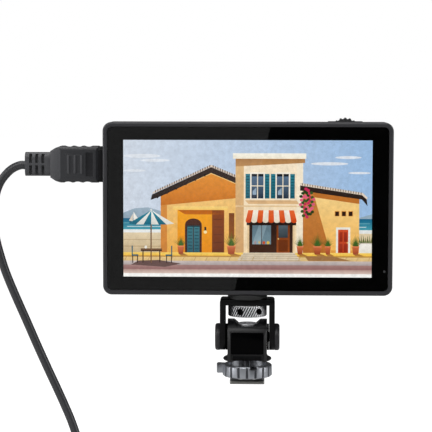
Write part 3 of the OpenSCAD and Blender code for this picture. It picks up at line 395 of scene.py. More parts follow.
LEAD_DIAMETER = 4.6 * MM
LEAD_ROUTE_MM = [
    (-119.7, 4.1, 116.3), (-122.6, 4.1, 116.3), (-127, 4, 114.4), (-130.7, 3.6, 111), (-133.7, 2.9, 106.6),
    (-135.7, 1.9, 100.8), (-136.8, 0.7, 93.4), (-136.7, -0.3, 85.5), (-135.5, -0.9, 77.2), (-133.3, -1.2, 68.6),
    (-130.4, -1.2, 59.4), (-126.9, -1, 50.4), (-123.2, -0.7, 41.6), (-119.2, -0.5, 32.4), (-115.4, -0.3, 23.4),
    (-111.4, -0.2, 14.2), (-107.2, -0.1, 4.8), (-103.1, 0, -4.2), (-99, 0, -13.4), (-95.2, 0, -22.6),
    (-92.2, 0, -32), (-90.5, 0, -42), (-89.7, 0, -52), (-89.5, 0, -62), (-89.5, 0, -72), (-89.5, 0, -82),
    (-89.5, 0, -92), (-89.5, 0, -100)]
LEAD_ROUTE = [Vector(p) * MM for p in LEAD_ROUTE_MM]


def make_lead():
    curve = bpy.data.curves.new("lead", "CURVE")
    curve.dimensions = "3D"
    curve.bevel_depth = LEAD_DIAMETER / 2
    curve.bevel_resolution = 6
    curve.use_fill_caps = True
    curve.resolution_u = 6
    spline = curve.splines.new("BEZIER")
    spline.bezier_points.add(len(LEAD_ROUTE) - 1)
    for i, (knot, place) in enumerate(zip(spline.bezier_points, LEAD_ROUTE)):
        before = LEAD_ROUTE[max(i - 1, 0)]
        after = LEAD_ROUTE[min(i + 1, len(LEAD_ROUTE) - 1)]
        direction = (after - before).normalized()
        knot.co = place
        knot.handle_left = place - direction * (place - before).length / 3
        knot.handle_right = place + direction * (after - place).length / 3
    lead = placed("lead", curve)
    lead.data.materials.append(MATERIALS["lead_jacket"])
    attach(lead, "picture_lead")
    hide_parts("picture_lead")
    return lead


# ---- The picture on the display ----

PICTURE_LAYER = 0.0015 * MM


def srgb(red, green, blue):
    """A colour given in 0 to 255 screen values, as linear light."""
    def linear(value):
        value /= 255
        return value / 12.92 if value <= 0.04045 else ((value + 0.055) / 1.055) ** 2.4
    return (linear(red), linear(green), linear(blue), 1.0)


class Painting:
    """Flat coloured shapes laid over each other, in millimetres from the picture's lower left corner."""

    def __init__(self, width, height, face_y, low_corner):
        self.mesh = bmesh.new()
        self.colours = self.mesh.loops.layers.float_color.new("paint")
        self.width, self.height = width, height
        self.face_y = face_y
        self.low_corner = low_corner
        self.layer = 0

    def shape(self, points, colour, top_colour=None, across=False):
        """A flat shape, shaded from colour at its foot to top_colour at its top, or from left to right."""
        inside = [(min(max(u, 0), self.width), min(max(v, 0), self.height)) for u, v in points]
        way = 0 if across else 1
        lowest = min(p[way] for p in inside)
        span = max(p[way] for p in inside) - lowest or 1
        place_y = self.face_y - (self.layer + 1) * PICTURE_LAYER
        corners = [self.mesh.verts.new((self.low_corner[0] + u * MM, place_y, self.low_corner[1] + v * MM))
                   for u, v in inside]
        face = self.mesh.faces.new(corners)
        if face.calc_area() < 1e-12:
            self.mesh.faces.remove(face)
            return
        face.normal_update()
        if face.normal.y > 0:
            face.normal_flip()
        top = top_colour or colour
        for loop in face.loops:
            place = (loop.vert.co.x, loop.vert.co.z)[way]
            share = ((place - self.low_corner[way]) / MM - lowest) / span
            loop[self.colours] = [a + (b - a) * share for a, b in zip(colour, top)]

    def box(self, u0, v0, u1, v1, colour, top_colour=None, across=False):
        self.shape([(u0, v0), (u1, v0), (u1, v1), (u0, v1)], colour, top_colour, across)

    def disc(self, u, v, radius_u, radius_v, colour, count=14):
        turns = [2 * math.pi * i / count for i in range(count)]
        self.shape([(u + radius_u * math.cos(turn), v + radius_v * math.sin(turn)) for turn in turns], colour)

    def next_layer(self):
        self.layer += 1


def paint_louvred_door(art, u, v, width, height, surround, leaf_low, leaf_high):
    """A door: its surround, two leaves with louvres, and a shadow along its top."""
    art.box(u - 0.7, v - 0.5, u + width + 0.7, v + height + 0.7, surround)
    art.next_layer()
    art.box(u, v, u + width / 2 - 0.2, v + height, leaf_low, leaf_high)
    art.box(u + width / 2 + 0.2, v, u + width, v + height, leaf_low, leaf_high)
    art.next_layer()
    darker = [0.5 * c for c in leaf_low[:3]] + [1]
    rows = int(height / 1.9)
    for i in range(rows):
        at = v + 0.8 + i * (height - 1) / rows
        art.box(u + 0.5, at, u + width / 2 - 0.7, at + 0.5, darker)
        art.box(u + width / 2 + 0.7, at, u + width - 0.5, at + 0.5, darker)
    art.box(u, v + height - 0.7, u + width, v + height, [0.35 * c for c in leaf_low[:3]] + [1])
    art.next_layer()


def paint_street(art):
    """A quiet village street by the sea: generic houses, steps, plants and a parasol."""
    w, h = art.width, art.height
    art.box(0, 0, w, h, srgb(216, 224, 236), srgb(160, 194, 232), across=True)
    art.next_layer()
    # Wisps of cloud
    for u, v, reach, thick in ((10, 66, 10, 1.1), (17, 63.6, 8, 0.8), (6, 58, 6, 0.7), (110, 62, 10, 0.9),
                               (120, 65.4, 7, 0.8), (126, 57, 6, 0.6)):
        art.disc(u, v, reach, thick, srgb(232, 237, 245), 18)
        art.next_layer()
    # Sea with a far headland, surf and sand, on both sides
    art.shape([(0, 35), (6, 37.4), (13, 38), (20, 36), (34, 33), (34, 30), (0, 30)], srgb(140, 164, 182),
              srgb(162, 182, 198))
    art.shape([(124, 32), (w, 34.6), (w, 30), (124, 30)], srgb(150, 172, 188))
    art.next_layer()
    for left, right in ((0, 40), (124, w)):
        art.box(left, 25.4, right, 32, srgb(74, 164, 180), srgb(6, 98, 136))
        art.next_layer()
        art.box(left, 24, right, 25.9, srgb(238, 240, 238))
        art.box(left + 2, 27.3, right - 3, 27.7, srgb(206, 226, 230))
        art.box(left, 29.3, right - 1, 29.55, srgb(120, 186, 198))
        art.box(left, 12.5, right, 24.2, srgb(206, 180, 138), srgb(232, 212, 176))
        art.next_layer()
    art.shape([(3.2, 30.1), (8.6, 30.1), (7.6, 29), (4.2, 29)], srgb(60, 52, 50))
    art.shape([(5.4, 30.3), (5.4, 35.6), (8.6, 30.7)], srgb(244, 240, 230))
    art.shape([(5.1, 30.3), (5.1, 34.4), (3.0, 30.7)], srgb(226, 214, 196))
    art.box(0, 20.2, 22, 20.5, srgb(190, 162, 122))
    art.box(0, 16.5, 22, 16.9, srgb(186, 158, 118))
    art.next_layer()
    # Long low house: ochre wall, cream gable and a dark tiled roof
    art.shape([(20, 12.5), (20, 46), (47, 58), (64, 50.6), (64, 12.5)], srgb(244, 178, 78), srgb(252, 212, 138))
    art.next_layer()
    art.shape([(20, 39), (20, 44.2), (47, 56.4), (64, 49.2), (64, 43.5)], srgb(206, 116, 30),
              srgb(236, 150, 56))
    art.shape([(20, 12.5), (20, 39), (23.4, 39.6), (23.4, 12.5)], srgb(214, 134, 54), srgb(224, 146, 64))
    art.next_layer()
    art.shape([(14.6, 42.0), (15.4, 45), (47, 60), (66, 51.8), (66, 48.8), (47, 56.8), (19.6, 43.8)],
              srgb(38, 27, 24), srgb(56, 40, 34))
    art.next_layer()
    art.shape([(15.4, 45.2), (16, 46.4), (47, 61.2), (66, 53.2), (66, 51.8), (47, 60)], srgb(222, 206, 190))
    art.next_layer()
    for i in range(24):
        u = 17 + i * 1.26
        v = 45.9 + (u - 15.6) * 0.474
        art.shape([(u, v - 0.6), (u + 0.5, v - 0.35), (u + 0.5, v + 1.0), (u, v + 0.7)], srgb(112, 90, 80))
        if i % 4 == 1:
            art.box(u - 0.3, v - 4.2, u + 0.5, v - 2.9, srgb(30, 22, 20))
    for i in range(14):
        u = 47.8 + i * 1.26
        v = 60.6 - (u - 47) * 0.43
        art.shape([(u, v - 0.5), (u + 0.5, v - 0.75), (u + 0.5, v + 0.6), (u, v + 0.9)], srgb(112, 90, 80))
    # Lower annexe with an orange wall in full sun
    art.next_layer()
    art.box(29, 12.5, 54, 37, srgb(238, 142, 12), srgb(250, 168, 30))
    art.box(56.5, 21, 59.4, 35, srgb(150, 84, 30), srgb(126, 66, 26))
    art.next_layer()
    art.box(26.5, 36.6, 56, 38.6, srgb(253, 204, 104), srgb(255, 218, 132))
    art.shape([(29, 36.6), (54, 36.6), (54, 34.2), (33, 34.2)], srgb(202, 108, 10), srgb(190, 96, 8))
    art.box(47.5, 12.5, 54, 36.6, srgb(112, 52, 22), srgb(140, 68, 26))
    art.box(33, 12.5, 42, 28.4, srgb(92, 46, 30), srgb(70, 36, 26))
    art.next_layer()
    art.disc(37.5, 28.4, 4.5, 3.6, srgb(76, 38, 26), 20)
    art.box(43.4, 25, 44.4, 27.4, srgb(40, 30, 28))
    art.disc(43.9, 24.6, 0.9, 0.9, srgb(255, 236, 176), 12)
    for i in range(5):
        art.box(48.4, 14.6 + i * 4.2, 53, 14.9 + i * 4.2, srgb(84, 38, 18))
    art.next_layer()
    paint_louvred_door(art, 34.2, 12.5, 6.6, 15.6, srgb(64, 34, 26), srgb(44, 98, 112), srgb(60, 122, 134))
    # Tall cream house with a flat roof
    art.box(60, 12.5, 96, 66, srgb(252, 224, 180), srgb(254, 236, 208))
    art.next_layer()
    art.box(58.6, 64.6, 97.6, 67.6, srgb(255, 244, 222), srgb(255, 250, 236))
    art.box(60, 12.5, 64.4, 64.6, srgb(214, 164, 108), srgb(228, 188, 134))
    art.next_layer()
    art.shape([(60, 60.4), (97, 62.4), (97, 64.6), (60, 64.6)], srgb(196, 146, 92), srgb(176, 126, 76))
    art.box(92.6, 12.5, 96, 62, srgb(255, 240, 214))
    art.box(60, 38.4, 96, 39.2, srgb(236, 202, 154))
    art.next_layer()
    for u in (68.5, 82):
        art.shape([(u - 3.4, 42), (u + 10.6, 42), (u + 12, 40), (u - 1.6, 40)], srgb(228, 186, 136))
        art.next_layer()
        art.box(u - 0.9, 42.2, u + 7.3, 57.2, srgb(255, 246, 230))
        art.next_layer()
        art.box(u, 43, u + 6.4, 56.4, srgb(40, 50, 64), srgb(96, 122, 150))
        art.next_layer()
        art.shape([(u, 56.4), (u + 6.4, 56.4), (u + 6.4, 55), (u, 55)], srgb(24, 30, 40))
        art.shape([(u + 0.6, 45), (u + 2.6, 45), (u + 2.6, 49), (u + 0.6, 47)], srgb(150, 172, 192))
        art.box(u - 3.2, 43, u - 0.7, 56.4, srgb(30, 100, 118), srgb(46, 126, 142))
        art.box(u + 7.1, 43, u + 9.6, 56.4, srgb(30, 100, 118), srgb(46, 126, 142))
        art.next_layer()
        art.box(u + 3.0, 43, u + 3.5, 56.4, srgb(246, 232, 208))
        art.box(u, 49.6, u + 6.4, 50.1, srgb(246, 232, 208))
        art.box(u - 1.1, 41, u + 7.6, 42.4, srgb(206, 158, 108), srgb(240, 210, 168))
        for i in range(8):
            art.box(u - 2.8, 43.9 + i * 1.55, u - 1.1, 44.3 + i * 1.55, srgb(18, 70, 84))
            art.box(u + 7.5, 43.9 + i * 1.55, u + 9.2, 44.3 + i * 1.55, srgb(18, 70, 84))
        art.next_layer()
    # Shop window and door in the shade of a striped awning
    art.box(66.4, 12.5, 91.6, 33, srgb(236, 204, 158))
    art.next_layer()
    art.box(67.4, 12.5, 90.6, 33, srgb(70, 42, 30), srgb(34, 22, 20))
    art.next_layer()
    art.box(69, 18, 79, 30, srgb(118, 146, 158), srgb(92, 112, 124))
    art.box(82, 12.5, 89, 30, srgb(156, 76, 28), srgb(120, 56, 22))
    art.next_layer()
    art.shape([(69, 18), (73.4, 18), (77.4, 30), (73, 30)], srgb(150, 174, 184), srgb(116, 138, 150))
    art.box(73.8, 18, 74.2, 30, srgb(60, 40, 32))
    for i in range(4):
        art.disc(70.6 + i * 2.3, 18.9, 0.8, 0.9, (srgb(200, 80, 44), srgb(232, 190, 70))[i % 2], 10)
    art.box(83, 14, 88, 20.4, srgb(110, 50, 18))
    art.box(83, 21.6, 88, 28.6, srgb(52, 60, 66), srgb(84, 98, 106))
    art.disc(82.9, 21, 0.35, 0.35, srgb(240, 214, 130), 10)
    art.next_layer()
    art.box(66, 28.4, 92.4, 31, srgb(38, 24, 20))
    art.next_layer()
    for i in range(9):
        hot, pale = (srgb(214, 78, 30), srgb(236, 106, 52)), (srgb(240, 226, 204), srgb(255, 248, 234))
        foot, top = pale if i % 2 else hot
        u0, u1 = 65.4 + i * 3.04, 65.4 + (i + 1) * 3.04
        t0, t1 = 66.8 + i * 2.72, 66.8 + (i + 1) * 2.72
        art.shape([(u0, 30.6), (u1, 30.6), (t1, 36.6), (t0, 36.6)], foot, top)
        art.disc((u0 + u1) / 2, 30.6, 1.5, 0.9, foot, 10)
    art.next_layer()
    # Lean-to house on the right, in warm light, with a long shadow
    art.box(96, 12.5, 126, 46, srgb(250, 188, 92), srgb(253, 216, 142))
    art.next_layer()
    art.shape([(96, 12.5), (96, 47), (101.5, 46.2), (111, 12.5)], srgb(188, 110, 46), srgb(206, 134, 62))
    art.shape([(96, 47.8), (96, 44.6), (126, 40.2), (126, 43.4)], srgb(196, 116, 46))
    art.box(111, 12.5, 126, 14.8, srgb(232, 160, 70))
    art.next_layer()
    art.shape([(94.4, 47.4), (127.4, 42.6), (130.4, 39.0), (129.9, 42.8), (127.6, 45.2), (94.4, 50.4)],
              srgb(34, 24, 20), srgb(54, 38, 32))
    art.next_layer()
    art.shape([(94.4, 50.2), (127.4, 45), (130, 42.6), (130.4, 43.6), (127.8, 46.2), (94.4, 51.6)],
              srgb(232, 216, 198))
    art.next_layer()
    for i in range(24):
        u = 95.4 + i * 1.36
        art.box(u, 50.3 - (u - 94.4) * 0.158, u + 0.45, 51.6 - (u - 94.4) * 0.158, srgb(120, 98, 88))
    for i in range(3):
        art.box(112.9 + i * 3.6, 33.4, 115.5 + i * 3.6, 36.4, srgb(232, 158, 74))
    art.next_layer()
    for i in range(3):
        art.box(113.2 + i * 3.6, 33.6, 115.2 + i * 3.6, 36, srgb(48, 28, 20))
    art.box(113.7, 12.5, 121.3, 27.4, srgb(240, 238, 226))
    art.next_layer()
    art.box(114.8, 12.5, 120.2, 26.2, srgb(184, 58, 28), srgb(212, 80, 40))
    art.next_layer()
    for v0, v1 in ((13.8, 18.4), (19.6, 24.8)):
        for u0 in (115.5, 117.9):
            art.box(u0, v0, u0 + 1.7, v1, srgb(146, 42, 22), srgb(166, 54, 30))
    art.disc(119.8, 19, 0.35, 0.35, srgb(240, 214, 130), 10)
    art.next_layer()
    # Far right: a low white wall and dunes with grass
    art.box(126, 12.5, w, 18.4, srgb(236, 230, 216), srgb(250, 246, 236))
    art.box(126, 18.2, w, 19.2, srgb(206, 196, 178))
    art.next_layer()
    for i in range(9):
        u = 126.4 + i * 0.75
        art.shape([(u - 0.3, 19), (u + 0.5, 19), (u + 0.6 * (i % 3 - 1), 22.4 + i % 2)],
                  srgb(84 + 10 * (i % 3), 108, 54))
    # Flowering bush on the tall house's corner
    art.next_layer()
    for i in range(44):
        turn = i * 2.4
        reach = math.sqrt((i + 1) / 44)
        u, v = 98.2 + 3.7 * reach * math.cos(turn), 40.5 + 8.2 * reach * math.sin(turn)
        colour = (srgb(206, 48, 92), srgb(60, 88, 38), srgb(232, 96, 128), srgb(42, 66, 30))[i % 4]
        art.disc(u, v, 0.95, 0.85, colour, 8)
        if i % 6 == 5:
            art.next_layer()
    art.next_layer()
    # Pavement, steps, road and the bright strip in front
    art.box(0, 8.6, w, 13.2, srgb(226, 190, 128), srgb(246, 216, 152))
    art.next_layer()
    art.box(0, 11.6, w, 13.4, srgb(250, 196, 72), srgb(255, 216, 108))
    art.box(0, 10.9, w, 11.7, srgb(196, 146, 70))
    art.box(0, 6.4, w, 8.8, srgb(176, 164, 164), srgb(206, 192, 186))
    art.next_layer()
    art.box(0, 4.0, w, 6.6, srgb(150, 106, 104), srgb(170, 132, 126))
    art.box(0, 1.8, w, 4.2, srgb(224, 200, 188), srgb(186, 150, 142))
    art.box(0, 0, w, 1.9, srgb(255, 254, 250))
    art.next_layer()
    for i in range(22):
        art.shape([(i * 6.2 + 1.5, 11), (i * 6.2 + 1.9, 11), (i * 6.2 + 0.8, 8.8), (i * 6.2 + 0.4, 8.8)],
                  srgb(196, 160, 108))
    for i in range(4):
        tread, riser = srgb(240, 226, 200), srgb(190, 168, 140)
        art.box(64 - i * 0.9, 13.4 - (i + 1) * 1.1, 92 + i * 0.9, 13.4 - i * 1.1, riser, tread)
    art.shape([(97, 11.6), (112, 11.6), (122, 9), (99, 9)], srgb(164, 118, 72))
    # Parasol with its table, and its shadow on the ground
    art.shape([(4, 6.6), (22, 5.4), (31, 7.2), (19, 9.2), (8, 8.8)], srgb(104, 78, 74))
    art.next_layer()
    art.box(14.5, 7.6, 15.2, 32, srgb(92, 62, 42), srgb(140, 104, 72), across=True)
    art.box(9.3, 14.6, 20.7, 15.5, srgb(120, 84, 56))
    art.box(9.3, 14, 20.7, 14.7, srgb(62, 42, 32))
    for u in (10.2, 19.2):
        art.box(u, 7.8, u + 0.6, 14.6, srgb(62, 42, 32))
    art.disc(12, 16.2, 0.7, 0.9, srgb(244, 240, 230), 12)
    for u in (4.4, 22.6):
        art.box(u, 11.4, u + 3.6, 12.2, srgb(26, 96, 116))
        art.box(u + 0.3, 7.6, u + 0.8, 11.6, srgb(52, 36, 30))
        art.box(u + 2.9, 7.6, u + 3.4, 11.6, srgb(52, 36, 30))
        art.box(u if u < 10 else u + 3, 11.4, u + 0.6 if u < 10 else u + 3.6, 17, srgb(26, 96, 116))
    art.next_layer()
    for i in range(6):
        pale, teal = (srgb(226, 226, 218), srgb(250, 250, 244)), (srgb(12, 98, 122), srgb(28, 140, 162))
        foot, top = pale if i % 2 else teal
        edge = 2.6 + i * 4.1
        art.shape([(edge, 28.6 + 0.5 * (i == 0)), (edge + 4.1, 28.6 + 0.5 * (i == 5)), (15.0, 36.4)], foot, top)
    art.disc(14.95, 36.6, 0.5, 0.5, srgb(240, 240, 234), 10)
    art.next_layer()
    # Low pots with green plants along the wall
    for u, size in ((57.8, 1.35), (94.5, 1.0), (103.8, 1.25), (109.4, 0.9), (124.2, 1.1), (30.8, 1.0)):
        art.shape([(u - 1.4 * size, 12.9), (u + 1.4 * size, 12.9), (u + 4 * size, 11.7), (u, 11.7)],
                  srgb(176, 120, 58))
        for i in range(11):
            lean = (i - 5) * 0.75 * size
            art.shape([(u - 0.4, 16.4), (u + 0.4, 16.4), (u + lean, 16.4 + (7 - abs(i - 5) * 0.75) * size)],
                      srgb(48 + 16 * (i % 3), 92 + 16 * (i % 2), 38))
        art.next_layer()
        foot, brim = 1.2 * size, 1.7 * size
        art.shape([(u - foot, 12.6), (u + foot, 12.6), (u + brim, 16.8), (u - brim, 16.8)],
                  srgb(160, 70, 40), srgb(212, 112, 66))
        art.next_layer()
        art.box(u - 1.8 * size, 16.4, u + 1.8 * size, 17.1, srgb(226, 130, 84))
        art.next_layer()


def picture_material():
    """Lit pixels: the painted colours, with plaster-like mottling and no gloss of their own."""
    material, tree, shader = new_material("lit_picture")
    paint = tree.nodes.new("ShaderNodeVertexColor")
    paint.layer_name = "paint"
    mottle = ranged(tree, noise(tree, object_place(tree), 420, 5.0, 0.65), 0.3, 0.7, 0.86, 1.08)
    tree.links.new(tinted(tree, paint.outputs["Color"], mottle), shader.inputs["Emission Color"])
    for label, value in (("Emission Strength", 1.02), ("Base Color", (0.01, 0.01, 0.01, 1)), ("Roughness", 0.9),
                         ("Specular IOR Level", 0.0)):
        shader.inputs[label].default_value = value
    return material


def make_display():
    """The display panel with its lit picture, which shows through the opening in the black border."""
    low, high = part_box("display_panel")
    middle = Vector((0, low.y, (low.z + high.z) / 2))
    opening_width, opening_height = 132.8, 74.7
    art = Painting(opening_width, opening_height, low.y,
                   (-opening_width / 2 * MM, middle.z - opening_height / 2 * MM))
    paint_street(art)
    # The lit area stays inside the opening of the border, with an unlit margin round it
    lit_width, lit_height, lit_shift = 131.9, 72.8, Vector((-0.08, 0, 0.15))
    bmesh.ops.scale(art.mesh, vec=(lit_width / art.width, 1, lit_height / art.height),
                    space=Matrix.Translation(-middle), verts=art.mesh.verts)
    bmesh.ops.translate(art.mesh, vec=lit_shift * MM, verts=art.mesh.verts)
    mesh = bpy.data.meshes.new("lit_picture")
    art.mesh.to_mesh(mesh)
    art.mesh.free()
    picture = placed("lit_picture", mesh)
    finish_piece(picture, body_of("display_panel"), picture_material())


# ---- Pieces that are modelled again, for what the plain solid leaves out ----


def pick_verts(piece, wanted):
    """Selects the vertices that a test on their index and place accepts."""
    mesh = bmesh.from_edit_mesh(piece.data)
    for face in mesh.faces:
        face.select = False
    for edge in mesh.edges:
        edge.select = False
    mesh.verts.index_update()
    for vert in mesh.verts:
        vert.select = bool(wanted(vert.index, vert.co))
    mesh.select_flush(True)
    bmesh.update_edit_mesh(piece.data)


def make_thumb_wheel():
    """The silver wheel: a diagonally knurled rim, chamfered edges and a ring of tommy-bar holes."""
    low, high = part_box("thumb_wheel")
    centre = (low + high) / 2
    radius, height = (high.x - low.x) / 2, high.z - low.z
    teeth, lean, steps = 46, math.radians(15), 8
    chamfer, depth = 0.5 * MM, 0.34 * MM
    bpy.ops.object.select_all(action="DESELECT")
    bpy.ops.mesh.primitive_circle_add(vertices=4 * teeth, radius=radius, fill_type="NGON",
                                      location=(centre.x, centre.y, low.z))
    wheel = bpy.context.object
    wheel.name = "knurled_wheel"
    wheel.data.materials.append(MATERIALS["turned_silver"])
    wheel.data.materials.append(MATERIALS["groove_shade"])
    settle(wheel)
    edit(wheel)
    pick_verts(wheel, lambda index, place: index % 4 > 1)
    valley = 1 - depth / radius
    bpy.ops.transform.resize(value=(valley, valley, 1), center_override=centre)
    bpy.ops.mesh.select_all(action="SELECT")
    inner = 1 - chamfer / radius
    bpy.ops.transform.resize(value=(inner, inner, 1), center_override=centre)
    rise = (height - 2 * chamfer) / steps
    for step in range(steps + 2):
        at_edge = step in (0, steps + 1)
        bpy.ops.mesh.extrude_region_move(
            TRANSFORM_OT_translate={"value": (0, 0, chamfer if at_edge else rise)})
        if at_edge:
            grow = 1 / inner if step == 0 else inner
            bpy.ops.transform.resize(value=(grow, grow, 1), center_override=centre)
        else:
            bpy.ops.transform.rotate(value=-lean / steps, orient_axis="Z", center_override=centre)
    bpy.ops.mesh.select_all(action="SELECT")
    bpy.ops.mesh.normals_make_consistent(inside=False)
    close_edit()
    # The grooves' floors and one flank of each lie in the shade
    floor_reach = radius * valley + 0.02 * MM
    for face in wheel.data.polygons:
        spots = [wheel.data.vertices[i].co - centre for i in face.vertices]
        outs = [spot.xy.length for spot in spots]
        around = face.normal.y * spots[0].x - face.normal.x * spots[0].y
        if len(outs) == 4 and abs(face.normal.z) < 0.5 and min(outs) < floor_reach and (
                max(outs) < floor_reach or around > 0.1 * radius):
            face.material_index = 1
    # Holes for a tightening bar, round the rim
    holes, hole_radius, hole_depth, middle_angle = 6, 1.75 * MM, 3.4 * MM, -82
    for i in range(holes):
        angle = math.radians(middle_angle - 180 / holes + i * 360 / holes)
        out = Vector((math.cos(angle), math.sin(angle), 0))
        bpy.ops.object.select_all(action="DESELECT")
        bpy.ops.mesh.primitive_cylinder_add(
            vertices=32, radius=hole_radius, depth=2 * hole_depth,
            location=centre + out * radius, rotation=out.to_track_quat("Z", "Y").to_euler())
        drill = bpy.context.object
        # The drill's dark finish passes to the hole walls: painted shade inside the holes
        drill.data.materials.append(MATERIALS["black_screw"])
        cut = wheel.modifiers.new("hole", "BOOLEAN")
        cut.object = drill
        cut.solver = "EXACT"
        cut.material_mode = "TRANSFER"
        apply_all(wheel)
        bpy.data.objects.remove(drill)
    smooth(wheel, 25)
    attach(wheel, body_of("thumb_wheel"))
    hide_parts("thumb_wheel")


def make_cover_glass():
    """Polished glass with rounded corners, a hair clear of the print behind it."""
    low, high = (corner.copy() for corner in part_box("cover_glass"))
    print_gap, corner_radius = 0.03 * MM, 2.4 * MM
    high.y -= print_gap
    bpy.ops.object.select_all(action="DESELECT")
    bpy.ops.mesh.primitive_cube_add(size=1, location=(low + high) / 2)
    glass = bpy.context.object
    glass.name = "polished_glass"
    glass.scale = high - low
    settle(glass)
    edit(glass)
    mesh = bmesh.from_edit_mesh(glass.data)
    for face in mesh.faces:
        face.select = False
    for edge in mesh.edges:
        edge.select = abs((edge.verts[0].co - edge.verts[1].co).normalized().y) > 0.9
    mesh.select_mode = {"EDGE"}
    mesh.select_flush_mode()
    bmesh.update_edit_mesh(glass.data)
    bpy.ops.mesh.bevel(offset=corner_radius, segments=10, affect="EDGES")
    close_edit()
    smooth(glass)
    finish_piece(glass, body_of("cover_glass"), MATERIALS["cover_glass"])
    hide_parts("cover_glass")


# Finish, and how far the edges are rounded in millimetres
SKINS = {
    "front_frame": ("frame_plastic", 0.12), "rear_cover": ("cover_plastic", 0.12),
    "tilt_bracket": ("bracket_anodised", 0.3), "swivel_block": ("black_anodised", 0.22),
    "block_cover": ("black_gloss", 0.2), "pivot_cap_left": ("cap_plastic", 0.15),
    "pivot_cap_right": ("cap_plastic", 0.15), "mount_pad": ("rubber", 0.2),
    "lock_ring": ("silver_anodised", 0.15), "shoe_foot": ("foot_steel", 0.15),
    "swivel_bolt": ("turned_silver", 0.12), "plug_grip": ("plug_plastic", 0.35),
    "plug_boot": ("boot_plastic_and_painted_highlight", 0.3), "menu_dial": ("control_plastic", 0.12),
    "power_button": ("control_plastic", 0.15), "battery_plate": ("inner_plastic", 0.2),
    "battery_latch": ("control_plastic", 0.2), "camera_plug_grip": ("plug_plastic", 0.6),
    "camera_plug_boot": ("plug_plastic", 0.4)}
PLAIN = {
    "border_print": ["border_mask", "display_panel", "friction_washers"],
    "rubber": ["glass_gasket"],
    "diffuser": ["backlight"],
    "circuit_board": ["main_board"],
    "plain_aluminium": ["heat_sink"],
    "sensor_lens": ["light_sensor"],
    "gold_contact": ["battery_contacts"],
    "black_screw": ["housing_screws", "plate_screws"],
    "inner_plastic": ["fan_frame", "fan_rotor", "headphone_jack", "power_jack", "dial_carriage", "dial_switch",
                      "power_switch"],
    "plated_steel": ["panel_chassis", "chassis_screws", "picture_input", "picture_output", "update_socket",
                     "dial_axle", "dial_spring", "bottom_bush", "side_bush", "thumb_screw", "pivot_screw_left",
                     "pivot_screw_right", "swivel_washer", "plug_shell", "camera_plug_shell"]}


def shade_grip(grip):
    """A paler taper; the ribs paler as a painted highlight; painted shade in the thumb recess, and a collar
    painted dark as painted shade.
    """
    low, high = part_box("plug_grip")
    middle_z = (low.z + high.z) / 2
    face_y = (low.y + high.y) / 2 - 5.5 * MM
    collar_x = high.x - 2.9 * MM
    taper_x, ribs_x, recess_x = low.x + 5.5 * MM, collar_x - 7 * MM, collar_x - 4.7 * MM
    mark_faces(grip, "boot_plastic_and_painted_highlight", lambda place, normal: place.x < taper_x)
    # Painted highlight: the ribs, proud of the face, take the paler plastic
    mark_faces(grip, "boot_plastic_and_painted_highlight", lambda place, normal: place.y < face_y - 0.1 * MM and normal.y < 0.9
               and abs(place.z - middle_z) < 5.2 * MM and place.x < ribs_x)
    # Painted shade in the thumb recess
    mark_faces(grip, "recess_painted_shade", lambda place, normal: abs(place.x - recess_x) < 2.2 * MM
               and abs(place.z - middle_z) < 6.6 * MM and 0.05 * MM < place.y - face_y < 1 * MM)
    # Painted shade: the collar takes the dark shaded plastic
    mark_faces(grip, "shaded_plastic", lambda place, normal: place.x > collar_x + 0.02 * MM)


def shade_foot_and_ring(foot, ring):
    """The foot's neck, deep in the ring, and the ring's flutes lie in the shade."""
    neck_z, rim = 6 * MM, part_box("lock_ring")[1].x
    mark_faces(foot, "flute_shade", lambda place, normal: place.z > neck_z)
    mark_faces(ring, "flute_shade", lambda place, normal: abs(normal.z) < 0.3 and place.x > -rim
               and rim - 0.6 * MM < place.xy.length < rim - 0.12 * MM)


def shade_block_slot(block):
    """The slot under the block's cover is unlit inside."""
    slot_top, slot_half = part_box("swivel_block")[0].z + 3.4 * MM, 7.6 * MM
    mark_faces(block, "shaded_plastic", lambda place, normal: -9.4 * MM < place.y < -4.5 * MM
               and abs(place.x) < slot_half and place.z < slot_top)


def fit_pivot(bolt, caps):
    """Lifts the bolt's head a little, and brings the caps close to the ears so that no light shows between."""
    bolt_top, ear_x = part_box("swivel_bolt")[1].z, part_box("tilt_bracket")[1].x
    rise, reach = 0.5 * MM, 0.09 * MM
    for vert in bolt.data.vertices:
        if vert.co.z > bolt_top - 0.4 * MM:
            vert.co.z += rise
    for cap in caps:
        for vert in cap.data.vertices:
            if abs(vert.co.x) < ear_x + 0.4 * MM:
                vert.co.x -= math.copysign(reach, vert.co.x)


def dress_nodes():
    """Softly rounded skins for what shows from a step away, and plain finishes for the rest."""
    skins = {node: dressed(node, MATERIALS[finish], edge * MM) for node, (finish, edge) in SKINS.items()}
    shade_grip(skins["plug_grip"])
    shade_foot_and_ring(skins["shoe_foot"], skins["lock_ring"])
    fit_pivot(skins["swivel_bolt"], [skins["pivot_cap_left"], skins["pivot_cap_right"]])
    shade_block_slot(skins["swivel_block"])
    for finish, nodes in PLAIN.items():
        for node in nodes:
            mesh = NODES[node].data
            mesh.materials.clear()
            mesh.materials.append(MATERIALS[finish])


# ---- Studio ----


def floor_material():
    """Near white for the camera, and grey for the light, so that it takes a shadow and lights little."""
    material, tree, shader = new_material("floor")
    tree.nodes.remove(shader)
    lit = tree.nodes.new("ShaderNodeBsdfDiffuse")
    lit.inputs["Color"].default_value = (0.5, 0.5, 0.5, 1)
    glow = tree.nodes.new("ShaderNodeEmission")
    path = tree.nodes.new("ShaderNodeLightPath")
    tree.links.new(maths(tree, "MULTIPLY", path.outputs["Is Camera Ray"], 0.9), glow.inputs["Strength"])
    both = tree.nodes.new("ShaderNodeAddShader")
    for socket, part in zip(both.inputs, (lit, glow)):
        tree.links.new(part.outputs[0], socket)
    tree.links.new(both.outputs[0], tree.nodes["Material Output"].inputs["Surface"])
    return material


